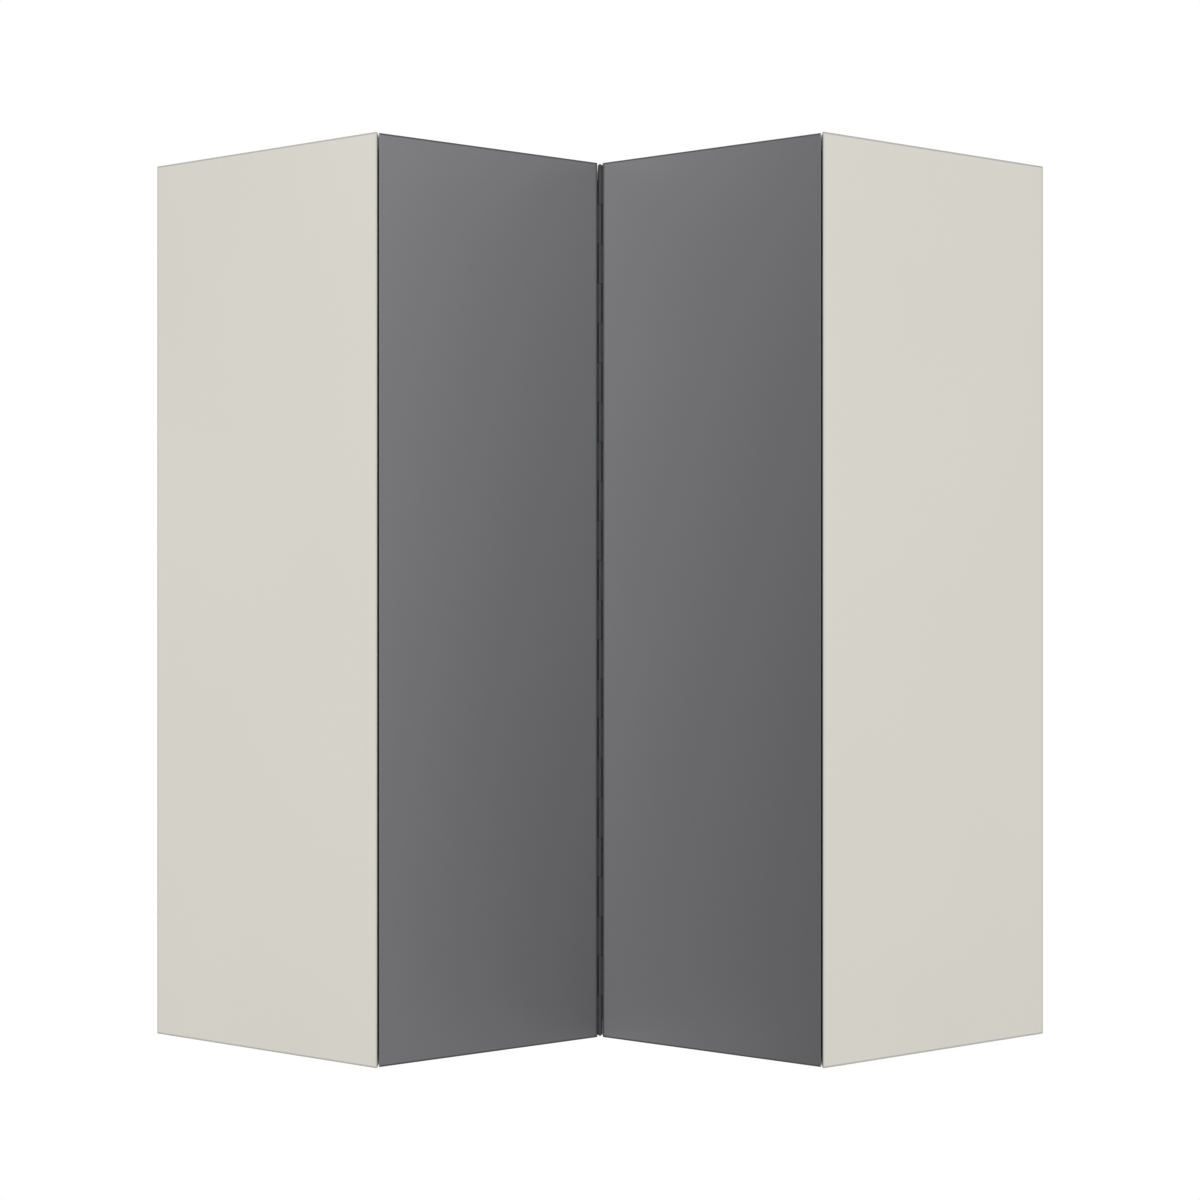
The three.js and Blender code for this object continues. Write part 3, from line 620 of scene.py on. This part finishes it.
def soften(piece: bpy.types.Object, width: float) -> None:
    """Rounds a piece's sharp edges and keeps its flats flat.

    Args:
        piece: the mesh object.
        width: width of the edge rounding.
    """
    bevel = piece.modifiers.new("rounded_edges", "BEVEL")
    bevel.width = width
    bevel.segments = ROUNDING_STEPS
    bevel.limit_method = "ANGLE"
    bevel.angle_limit = SHARP_ANGLE
    bevel.harden_normals = True
    bevel.use_clamp_overlap = True
    shading = piece.modifiers.new("flat_faces", "WEIGHTED_NORMAL")
    shading.mode = "FACE_AREA"
    shading.weight = FLAT_FACE_WEIGHT
    shading.keep_sharp = True


def border(piece: bpy.types.Object, facing: Vector, width: float, finish: Finish,
           plain_side: Vector | None = None) -> None:
    """Gives the broad face on one side of a piece a border in another finish.

    Args:
        piece: the mesh object, which has its main finish.
        facing: the outward direction of the face.
        width: width of the border.
        finish: the border's finish.
        plain_side: direction of the edge that stays without the border, if any.
    """
    mesh = bmesh.new()
    mesh.from_mesh(piece.data)
    outer = [face for face in mesh.faces if face.normal.dot(facing) > SAME_WAY]
    broad = max(outer, key=lambda face: face.calc_area())
    ring = bmesh.ops.inset_individual(mesh, faces=[broad], thickness=width, use_even_offset=True)
    piece.data.materials.append(finish.material())
    middle = broad.calc_center_median()
    for face in ring["faces"]:
        away = (face.calc_center_median() - middle).normalized()
        if plain_side is None or away.dot(plain_side) < TOWARDS:
            face.material_index = len(piece.data.materials) - 1
    mesh.to_mesh(piece.data)
    mesh.free()


def place(piece: bpy.types.Object, finish: Finish, body: Body) -> bpy.types.Object:
    """Gives a piece its finish and its body.

    Args:
        piece: the mesh object.
        finish: the surface finish, which names the slot.
        body: the body that the piece moves with.

    Returns:
        The same object.
    """
    piece.data.materials.clear()
    piece.data.materials.append(finish.material())
    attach(piece, body.value)
    LOG.info("%s: %s on %s", piece.name, finish.name, body.value)
    return piece


def dressed_node(frame: dict, node: str, finish: Finish, body: Body,
                 width: float) -> bpy.types.Object:
    """Shows a merged copy of a solid with softened edges in its place.

    Args:
        node: the CAD node's name.
        finish: the surface finish.
        body: the body that the node moves with.
        width: width of the edge rounding.

    Returns:
        The new object.
    """
    mesh = frame["nodes"][node].data.copy()
    mesh.name = f"{node}_skin"
    merge = bmesh.new()
    merge.from_mesh(mesh)
    bmesh.ops.remove_doubles(merge, verts=merge.verts, dist=SOLID_MERGE)
    bmesh.ops.dissolve_limit(merge, angle_limit=FLAT_ANGLE, verts=merge.verts, edges=merge.edges)
    merge.to_mesh(mesh)
    merge.free()
    mesh.polygons.foreach_set("use_smooth", np.ones(len(mesh.polygons), bool))
    piece = bpy.data.objects.new(f"{node}_skin", mesh)
    bpy.context.scene.collection.objects.link(piece)
    soften(piece, width)
    place(piece, finish, body)
    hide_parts(node)
    return piece


def along(axis: str, sign: float) -> Array:
    """Rotation that carries a shape standing on +Z to the direction of an axis.

    Args:
        axis: x, y or z.
        sign: 1 for the positive direction, -1 for the negative one.

    Returns:
        A matrix whose columns are the carried axes.
    """
    up = {"x": (sign, 0, 0), "y": (0, sign, 0), "z": (0, 0, sign)}[axis]
    side = {"x": (0, 1, 0), "y": (0, 0, 1), "z": (1, 0, 0)}[axis]
    return np.stack([np.array(side, float), np.cross(up, side), np.array(up, float)], 1)


@dataclass
class ScrewHeads:
    """Countersunk or pan heads with a cross recess, many in one piece."""

    radius: float = 3.4 * MM
    dome: float = 1.1 * MM
    recess: float = 0.9 * MM
    sink: float = 0.3 * MM
    rings: int = 12
    spokes: int = 48
    first_ring: float = 0.02
    crown_power: float = 2.4
    arm_edge: float = 0.16
    arm_blend: float = 0.06
    cross_reach: float = 0.62
    cross_blend: float = 0.12

    def shape(self) -> Array:
        """The head's surface on a polar grid.

        With t the share of the radius, the height is a flat dome, dome * (1 - t ** crown_power).
        The cross lowers it by recess times two ramps from 0 to 1: one in the distance to the
        nearer arm's middle line, from arm_edge inwards over arm_blend, and one in t, from
        cross_reach inwards over cross_blend.

        Returns:
            Points of shape (rings + 1, spokes, 3).
        """
        share = np.linspace(self.first_ring, 1.0, self.rings)[:, None]
        turn = np.linspace(0, 2 * math.pi, self.spokes, endpoint=False)[None, :]
        x, y = share * np.cos(turn), share * np.sin(turn)
        arm = np.minimum(np.abs(x), np.abs(y))
        across = np.clip((self.arm_edge - arm) / self.arm_blend, 0, 1)
        outward = np.clip((self.cross_reach - share) / self.cross_blend, 0, 1)
        height = self.dome * (1 - share ** self.crown_power) - self.recess * across * outward
        top = np.stack([x * self.radius, y * self.radius, np.broadcast_to(height, x.shape)], -1)
        rim = top[-1:].copy()
        rim[..., 2] = -self.sink
        return np.concatenate([top, rim])

    def build(self, name: str, places: Iterable[tuple[float, float, float]], axis: str,
              sign: float, finish: Finish, body: Body) -> bpy.types.Object:
        """One piece with a head at each place.

        Args:
            name: the piece's name.
            places: where the heads' rims sit.
            axis: the axis along which they face.
            sign: 1 or -1, which way along it.
            finish: the heads' finish.
            body: the body that they move with.

        Returns:
            The new object.
        """
        shape = self.shape() @ along(axis, sign).T
        centres = np.array(list(places), float)[:, None, None, :]
        piece = grid_mesh(name, shape[None] + centres)
        return place(piece, finish, body)


def swept_strip(name: str, path: Array, across: Array, half_width: float, thickness: float,
                round_off: float) -> bpy.types.Object:
    """A thin band with rounded long edges, carried along a path of straight runs.

    The section's back is flat, and its face turns down at both edges along a quarter circle.
    Each row of the grid is the section at one point of the path.

    Args:
        name: the object's name.
        path: points of the path, shape (n, 3).
        across: the outward direction at each point, shape (n, 3), scaled at mitred corners.
        half_width: half the band's width, measured along Z.
        thickness: height of the face over the path.
        round_off: radius of the rounded edges.

    Returns:
        The new object.
    """
    turn = np.linspace(math.pi / 2, 0, BAND_TURN_POINTS)
    low_edge = np.stack([-half_width + round_off * (1 - np.sin(turn)),
                         thickness - round_off * (1 - np.cos(turn))], -1)
    high_edge = low_edge[::-1] * np.array([-1.0, 1.0])
    back = np.array([[half_width, 0.0], [-half_width, 0.0]])
    section = np.concatenate([low_edge, high_edge, back])
    rise = np.array([0.0, 0.0, 1.0])
    points = path[:, None] + section[None, :, 1:] * across[:, None] + section[None, :, :1] * rise
    return grid_mesh(name, points)


# ---------------------------------------------------------------- sub-assemblies


@dataclass
class Carcase:
    """Side, top, bottom and back panels, the corner post and their edge bands."""

    frame: dict
    board_edge: float = 0.5 * MM
    back_edge: float = 0.3 * MM
    band_thickness: float = 0.4 * MM
    band_round: float = 0.35 * MM
    band_end_gap: float = 0.4 * MM
    band_side_gap: float = 0.2 * MM
    # Width of the border of painted edge shade on the side panels.
    edge_painted_shade_width: float = 1.7 * MM
    end_reach: float = 0.2 * MM
    screw_inset: float = 45 * MM
    back_screw_count: int = 5
    boards: tuple[str, ...] = ("right_side_panel", "left_side_panel", "top_panel",
                               "bottom_panel", "corner_post")

    def build(self) -> None:
        """Dresses the boards, paints a darker border of shade round the side panels' outer faces,
        and adds the bands on their front edges.
        """
        for node in self.boards:
            dressed_node(self.frame, node, CARCASE_MELAMINE, Body.CARCASE, self.board_edge)
        for node, facing in (("right_side_panel", (1, 0, 0)), ("left_side_panel", (0, -1, 0))):
            skin = bpy.data.objects[f"{node}_skin"]
            # Paints a darker border of shade round each side panel's outer face.
            border(skin, Vector(facing), self.edge_painted_shade_width, EDGE_PAINTED_SHADE)
        for node in ("right_back_panel", "left_back_panel"):
            dressed_node(self.frame, node, BACK_BOARD, Body.CARCASE, self.back_edge)
        for node in ("top_panel", "bottom_panel"):
            self.front_band(node)
        self.back_screws()

    def back_screws(self) -> None:
        """Screws on the wall side that hold both back panels to the corner post."""
        post_low, post_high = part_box("corner_post")
        middle = (post_low.x + post_high.x) / 2
        heights = np.linspace(post_low.z + self.screw_inset, post_high.z - self.screw_inset,
                              self.back_screw_count)
        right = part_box("right_back_panel")[1].y
        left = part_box("left_back_panel")[0].x
        ScrewHeads().build("right_back_screws", [(middle, right, z) for z in heights], "y", 1.0,
                           ZINC, Body.CARCASE)
        ScrewHeads().build("left_back_screws", [(left, -middle, z) for z in heights], "x", -1.0,
                           ZINC, Body.CARCASE)

    def front_band(self, node: str) -> None:
        """The band along both front edges of an L-shaped board.

        Its path follows the inner corner, where the outward direction is the sum of both edges'.

        Args:
            node: the board's name.
        """
        low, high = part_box(node)
        front = self.inner_corner(node)
        middle = (low.z + high.z) / 2
        end = high.x - self.band_end_gap
        path = np.array([[end, -front, middle], [front, -front, middle], [front, -end, middle]])
        across = np.array([[0.0, -1.0, 0.0], [1.0, -1.0, 0.0], [1.0, 0.0, 0.0]])
        half = (high.z - low.z) / 2 - self.band_side_gap
        band = swept_strip(f"{node}_front_band", path, across, half, self.band_thickness,
                           self.band_round)
        place(band, EDGE_BAND, Body.CARCASE)

    def inner_corner(self, node: str) -> float:
        """How far an L-shaped board's front edges stand from the walls.

        Among the points at the end of the right wing, it is the one farthest from the back wall.

        Args:
            node: the board's name.

        Returns:
            The distance in metres.
        """
        mesh = self.frame["nodes"][node].data
        points = np.zeros(len(mesh.vertices) * 3)
        mesh.vertices.foreach_get("co", points)
        points = points.reshape(-1, 3)
        _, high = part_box(node)
        at_end = np.abs(points[:, 0] - high.x) < self.end_reach
        return float(-points[at_end, 1].min())


@dataclass
class Shelving:
    """Two L-shaped shelves on steel pins."""

    frame: dict
    carcase: Carcase
    pin_edge: float = 0.25 * MM

    def build(self) -> None:
        """Dresses the shelves with their bands and the pins."""
        for level in ("lower", "upper"):
            node = f"{level}_shelf"
            dressed_node(self.frame, node, CARCASE_MELAMINE, Body.CARCASE, self.carcase.board_edge)
            self.carcase.front_band(node)
        pins = [name for name in self.frame["nodes"]
                if name.endswith("_pin") and "hinge" not in name]
        for name in sorted(pins):
            dressed_node(self.frame, name, ZINC, Body.CARCASE, self.pin_edge)


@dataclass
class Doors:
    """The two lacquered leaves and the bumpers."""

    frame: dict
    arris: float = 0.6 * MM
    bumper_edge: float = 0.4 * MM
    # Width of the leaves' border of painted shade.
    arris_painted_shade_reach: float = 1.7 * MM

    def build(self) -> None:
        """Dresses the leaves, with a darker border of painted shade along their top, bottom and
        inner edges, and the bumpers.
        """
        left = dressed_node(self.frame, "left_door", LEFT_LACQUER_PAINTED_SHADE, Body.LEFT_LEAF, self.arris)
        # Paints a darker border of shade along each leaf's top, bottom and inner edges.
        border(left, Vector((1, 0, 0)), self.arris_painted_shade_reach, ARRIS_PAINTED_SHADE, Vector((0, -1, 0)))
        right = dressed_node(self.frame, "right_door", RIGHT_LACQUER_PAINTED_SHADE, Body.RIGHT_LEAF, self.arris)
        border(right, Vector((0, -1, 0)), self.arris_painted_shade_reach, ARRIS_PAINTED_SHADE, Vector((1, 0, 0)))
        for node in ("top_bumper", "bottom_bumper"):
            dressed_node(self.frame, node, BUMPER_RUBBER, Body.RIGHT_LEAF, self.bumper_edge)


@dataclass
class SwingHinges:
    """Three concealed hinges on the left side panel.

    Each row of parts holds a name, the body that it moves with and its edge rounding.
    """

    frame: dict
    levels: tuple[str, ...] = ("bottom", "middle", "top")
    parts: tuple[tuple[str, Body, float], ...] = (
        ("plate", Body.CARCASE, 0.35 * MM),
        ("arm", Body.CARCASE, 0.3 * MM),
        ("front_link", Body.FRONT_LINKS, 0.3 * MM),
        ("rear_link", Body.REAR_LINKS, 0.3 * MM),
        ("front_coupler", Body.FRONT_COUPLERS, 0.3 * MM),
        ("rear_coupler", Body.REAR_COUPLERS, 0.3 * MM),
        ("cup", Body.LEFT_LEAF, 0.3 * MM),
    )
    cup_screw_shift: float = 7 * MM
    cup_screw_inset: float = 6 * MM
    plate_screw_along: float = 26 * MM
    plate_screw_reach: float = 16 * MM
    plate_screw_drop: float = 0.4 * MM
    arm_screw_along: float = 18 * MM
    arm_screw_rise: float = 3.1 * MM

    def build(self) -> None:
        """Dresses every part and adds the screws of the plates, arms and cups."""
        for level in self.levels:
            for part, body, width in self.parts:
                dressed_node(self.frame, f"{level}_hinge_{part}", NICKEL, body, width)
        self.screws()

    def screws(self) -> None:
        """Heads on the cups' flanges, on the plates and on the arms."""
        cups, plates, arms = [], [], []
        for level in self.levels:
            low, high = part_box(f"{level}_hinge_cup")
            y = (low.y + high.y) / 2 + self.cup_screw_shift
            cups += [(low.x, y, z)
                     for z in (low.z + self.cup_screw_inset, high.z - self.cup_screw_inset)]
            low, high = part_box(f"{level}_hinge_plate")
            z = (low.z + high.z) / 2
            plates += [(low.x + self.plate_screw_along, high.y - self.plate_screw_drop, z + rise)
                       for rise in (-self.plate_screw_reach, self.plate_screw_reach)]
            arms.append((low.x + self.arm_screw_along, high.y + self.arm_screw_rise, z))
        ScrewHeads(radius=3.5 * MM, dome=0.8 * MM, recess=1.3 * MM, sink=1.2 * MM).build(
            "cup_screws", cups, "x", -1.0, ZINC, Body.LEFT_LEAF)
        ScrewHeads(radius=3.3 * MM).build(
            "hinge_plate_screws", plates, "y", 1.0, ZINC, Body.CARCASE)
        ScrewHeads(radius=2.9 * MM).build(
            "hinge_arm_screws", arms, "y", 1.0, ZINC, Body.CARCASE)


@dataclass
class CornerHinge:
    """The continuous hinge between the doors.

    Each row of parts holds a name, the body that it moves with and its edge rounding.
    """

    frame: dict
    parts: tuple[tuple[str, Body, float], ...] = (
        ("left_strip", Body.LEFT_LEAF, 0.15 * MM),
        ("right_strip", Body.RIGHT_LEAF, 0.15 * MM),
        ("pin", Body.LEFT_LEAF, 0.2 * MM),
    )
    strip_rise: float = 1.3 * MM
    screw_inset: float = 7.6 * MM
    first_screw: float = 20 * MM
    screw_pitch: float = 80 * MM

    def build(self) -> None:
        """Dresses both strips and the pin and adds the strips' screws."""
        for part, body, width in self.parts:
            dressed_node(self.frame, f"corner_hinge_{part}", DARK_STEEL, body, width)
        low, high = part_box("corner_hinge_right_strip")
        heights = np.arange(low.z + self.first_screw, high.z, self.screw_pitch)
        head = ScrewHeads(radius=2.6 * MM, dome=0.5 * MM, recess=0.4 * MM)
        low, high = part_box("right_door")
        head.build("corner_hinge_right_screws",
                   [(low.x - self.strip_rise, high.y - self.screw_inset, z) for z in heights],
                   "x", -1.0, DARK_STEEL, Body.RIGHT_LEAF)
        low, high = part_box("left_door")
        head.build("corner_hinge_left_screws",
                   [(low.x + self.screw_inset, high.y + self.strip_rise, z) for z in heights],
                   "y", 1.0, DARK_STEEL, Body.LEFT_LEAF)


@dataclass
class PushLatch:
    """The latch under the top panel and its catch plate on the door.

    Each row of parts holds a name, a finish, the body that it moves with and its edge rounding.
    """

    frame: dict
    parts: tuple[tuple[str, Finish, Body, float], ...] = (
        ("housing", GREY_PLASTIC, Body.CARCASE, 0.6 * MM),
        ("plunger", GREY_PLASTIC, Body.PLUNGER, 0.3 * MM),
        ("magnet", ZINC, Body.PLUNGER, 0.25 * MM),
        ("catch_plate", NICKEL, Body.RIGHT_LEAF, 0.3 * MM),
    )
    ear_inset: float = 4 * MM
    ear_along: float = 46 * MM
    ear_thickness: float = 3 * MM
    catch_screw_drop: float = 0.35 * MM

    def build(self) -> None:
        """Dresses housing, plunger, magnet and catch plate, with their screws."""
        for part, finish, body, width in self.parts:
            dressed_node(self.frame, f"latch_{part}", finish, body, width)
        low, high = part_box("latch_housing")
        y, z = low.y + self.ear_along, high.z - self.ear_thickness
        ScrewHeads(radius=3.1 * MM).build(
            "latch_screws", [(low.x + self.ear_inset, y, z), (high.x - self.ear_inset, y, z)],
            "z", -1.0, ZINC, Body.CARCASE)
        low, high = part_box("latch_catch_plate")
        ScrewHeads(radius=1.7 * MM, dome=0.2 * MM, recess=0.7 * MM, sink=0.9 * MM).build(
            "catch_plate_screw",
            [((low.x + high.x) / 2, high.y - self.catch_screw_drop, (low.z + high.z) / 2)],
            "y", 1.0, ZINC, Body.RIGHT_LEAF)


@dataclass
class WallFixing:
    """Hangers in the upper rear corners and the plates on the wall.

    Each row of parts holds a name, a finish and its edge rounding.
    """

    frame: dict
    parts: tuple[tuple[str, Finish, float], ...] = (
        ("hanger_housing", GREY_PLASTIC, 0.6 * MM),
        ("hanger_hook", ZINC, 0.4 * MM),
        ("wall_plate", ZINC, 0.3 * MM),
    )
    well_offset: float = 18 * MM
    screw_depth: float = 5 * MM

    def build(self) -> None:
        """Dresses housings, hooks and wall plates and adds the adjusting screws."""
        head = ScrewHeads(radius=3.9 * MM, dome=0.6 * MM, recess=1.4 * MM, sink=2.0 * MM)
        for side, axis, sign in (("right", "y", -1.0), ("left", "x", 1.0)):
            low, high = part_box(f"{side}_hanger_housing")
            middle = (low + high) / 2
            front = Vector((middle.x, low.y + self.screw_depth, middle.z))
            if axis == "x":
                front = Vector((high.x - self.screw_depth, middle.y, middle.z))
            wells = [(front.x, front.y, front.z + rise)
                     for rise in (-self.well_offset, self.well_offset)]
            head.build(f"{side}_hanger_screws", wells, axis, sign, ZINC, Body.CARCASE)
            for part, finish, width in self.parts:
                dressed_node(self.frame, f"{side}_{part}", finish, Body.CARCASE, width)


# ---------------------------------------------------------------- studio


@dataclass(frozen=True)
class Softbox:
    """A square area lamp aimed at a point."""

    name: str
    place: tuple[float, float, float]
    power: float
    size: float = 0.8
    target: tuple[float, float, float] = (0.35, -0.35, 0.45)

    def build(self) -> None:
        """Adds the lamp to the scene, turned to its target and hidden from the camera."""
        data = bpy.data.lights.new(self.name, "AREA")
        data.shape = "SQUARE"
        data.size = self.size
        data.energy = self.power
        lamp = bpy.data.objects.new(self.name, data)
        lamp.location = self.place
        aim = Vector(self.target) - Vector(self.place)
        lamp.rotation_euler = aim.to_track_quat("-Z", "Y").to_euler()
        lamp.visible_camera = False
        bpy.context.scene.collection.objects.link(lamp)
        LOG.info("softbox %s: %.1f W", self.name, self.power)


SOFTBOXES = (
    Softbox("right_key", (7.7, -3.6, 2.2), 303.5, 1.5),
    Softbox("left_key", (3.6, -7.7, 2.2), 304.5, 1.5),
    Softbox("over_corner", (0.9, -0.9, 2.6), 15.5, 0.5),
    Softbox("right_fill", (1.6, 1.2, 0.45), 2.2),
    Softbox("left_fill", (-1.2, -1.6, 0.45), 2.4),
)


@dataclass
class Studio:
    """Camera, lamps, white surroundings and a pale floor."""

    camera_distance: float = 3.749
    focal_pixels: float = 3169.0
    frame_pixels: float = 1200.0
    sensor: float = 36.0
    clip_end: float = 100.0
    middle_height: float = 0.45
    floor_drop: float = 1.2
    floor_radius: float = 6.0
    floor_fade: tuple[float, float] = (1.2, 3.6)
    floor_tone: float = 0.88
    floor_roughness: float = 0.9
    floor_points: int = 96
    ambient: float = 0.25
    softboxes: tuple[Softbox, ...] = SOFTBOXES

    def build(self) -> None:
        """Makes the camera, world, floor and lamps."""
        self.camera()
        self.world()
        self.floor()
        self.lamps()
        bpy.context.scene.view_settings.view_transform = "Standard"

    def camera(self) -> None:
        """The photograph's view: level, on the bisector of the two walls."""
        data = bpy.data.cameras.new("camera")
        data.sensor_width = self.sensor
        data.lens = self.focal_pixels / self.frame_pixels * self.sensor
        data.clip_end = self.clip_end
        camera = bpy.data.objects.new("camera", data)
        reach = self.camera_distance / math.sqrt(2)
        camera.location = (reach, -reach, self.middle_height)
        camera.rotation_euler = (math.pi / 2, 0.0, math.pi / 4)
        bpy.context.scene.collection.objects.link(camera)
        bpy.context.scene.camera = camera

    def seen_ray(self, tree: bpy.types.NodeTree) -> bpy.types.NodeSocket:
        """A value that is 1 for rays that show the surroundings and 0 for the others.

        Args:
            tree: the world's node tree.

        Returns:
            The largest of the outputs for camera, glossy and transmission rays.
        """
        path = tree.nodes.new("ShaderNodeLightPath")
        total = path.outputs["Is Camera Ray"]
        for name in ("Is Glossy Ray", "Is Transmission Ray"):
            larger = tree.nodes.new("ShaderNodeMath")
            larger.operation = "MAXIMUM"
            tree.links.new(total, larger.inputs[0])
            tree.links.new(path.outputs[name], larger.inputs[1])
            total = larger.outputs["Value"]
        return total

    def world(self) -> None:
        """White where it is seen and a soft fill elsewhere."""
        world = bpy.data.worlds.new("surroundings")
        bpy.context.scene.world = world
        world.use_nodes = True
        tree = world.node_tree
        strength = tree.nodes.new("ShaderNodeMapRange")
        strength.inputs["To Min"].default_value = self.ambient
        strength.inputs["To Max"].default_value = 1.0
        tree.links.new(self.seen_ray(tree), strength.inputs["Value"])
        background = tree.nodes["Background"]
        background.inputs["Color"].default_value = (1.0, 1.0, 1.0, 1.0)
        tree.links.new(strength.outputs["Result"], background.inputs["Strength"])

    def floor(self) -> None:
        """A round pale floor well below the cabinet, which fades out with the distance."""
        turn = np.linspace(0, 2 * math.pi, self.floor_points, endpoint=False)
        ring = np.stack([np.cos(turn), np.sin(turn), np.zeros_like(turn)], -1)
        points = ring[None] * np.array([0.0, self.floor_radius])[:, None, None]
        points[..., 2] -= self.floor_drop
        floor = grid_mesh("floor", points, caps=False)
        graph = Graph("pale_floor")
        graph.shader.inputs["Base Color"].default_value = (*[self.floor_tone] * 3, 1.0)
        graph.shader.inputs["Roughness"].default_value = self.floor_roughness
        length = graph.node("ShaderNodeVectorMath", operation="LENGTH")
        graph.link(graph.scaled((1.0, 1.0, 0.0)), length.inputs[0])
        fade = graph.ranged(length.outputs["Value"], 0.0, 1.0, self.floor_fade)
        blend = graph.node("ShaderNodeMixShader")
        graph.link(fade, blend.inputs[0])
        graph.link(graph.shader.outputs["BSDF"], blend.inputs[1])
        graph.link(graph.node("ShaderNodeBsdfTransparent").outputs["BSDF"], blend.inputs[2])
        graph.link(blend.outputs["Shader"], graph.tree.nodes["Material Output"].inputs["Surface"])
        floor.data.materials.append(graph.material)

    def lamps(self) -> None:
        """Adds every softbox."""
        for softbox in self.softboxes:
            softbox.build()


def main() -> None:
    """Builds the cabinet's dress in order and logs each piece."""
    logging.basicConfig(level=logging.INFO, format="%(name)s: %(message)s")
    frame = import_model()
    Studio().build()
    carcase = Carcase(frame)
    carcase.build()
    Shelving(frame, carcase).build()
    Doors(frame).build()
    SwingHinges(frame).build()
    CornerHinge(frame).build()
    PushLatch(frame).build()
    WallFixing(frame).build()


if __name__ == "__main__":
    main()
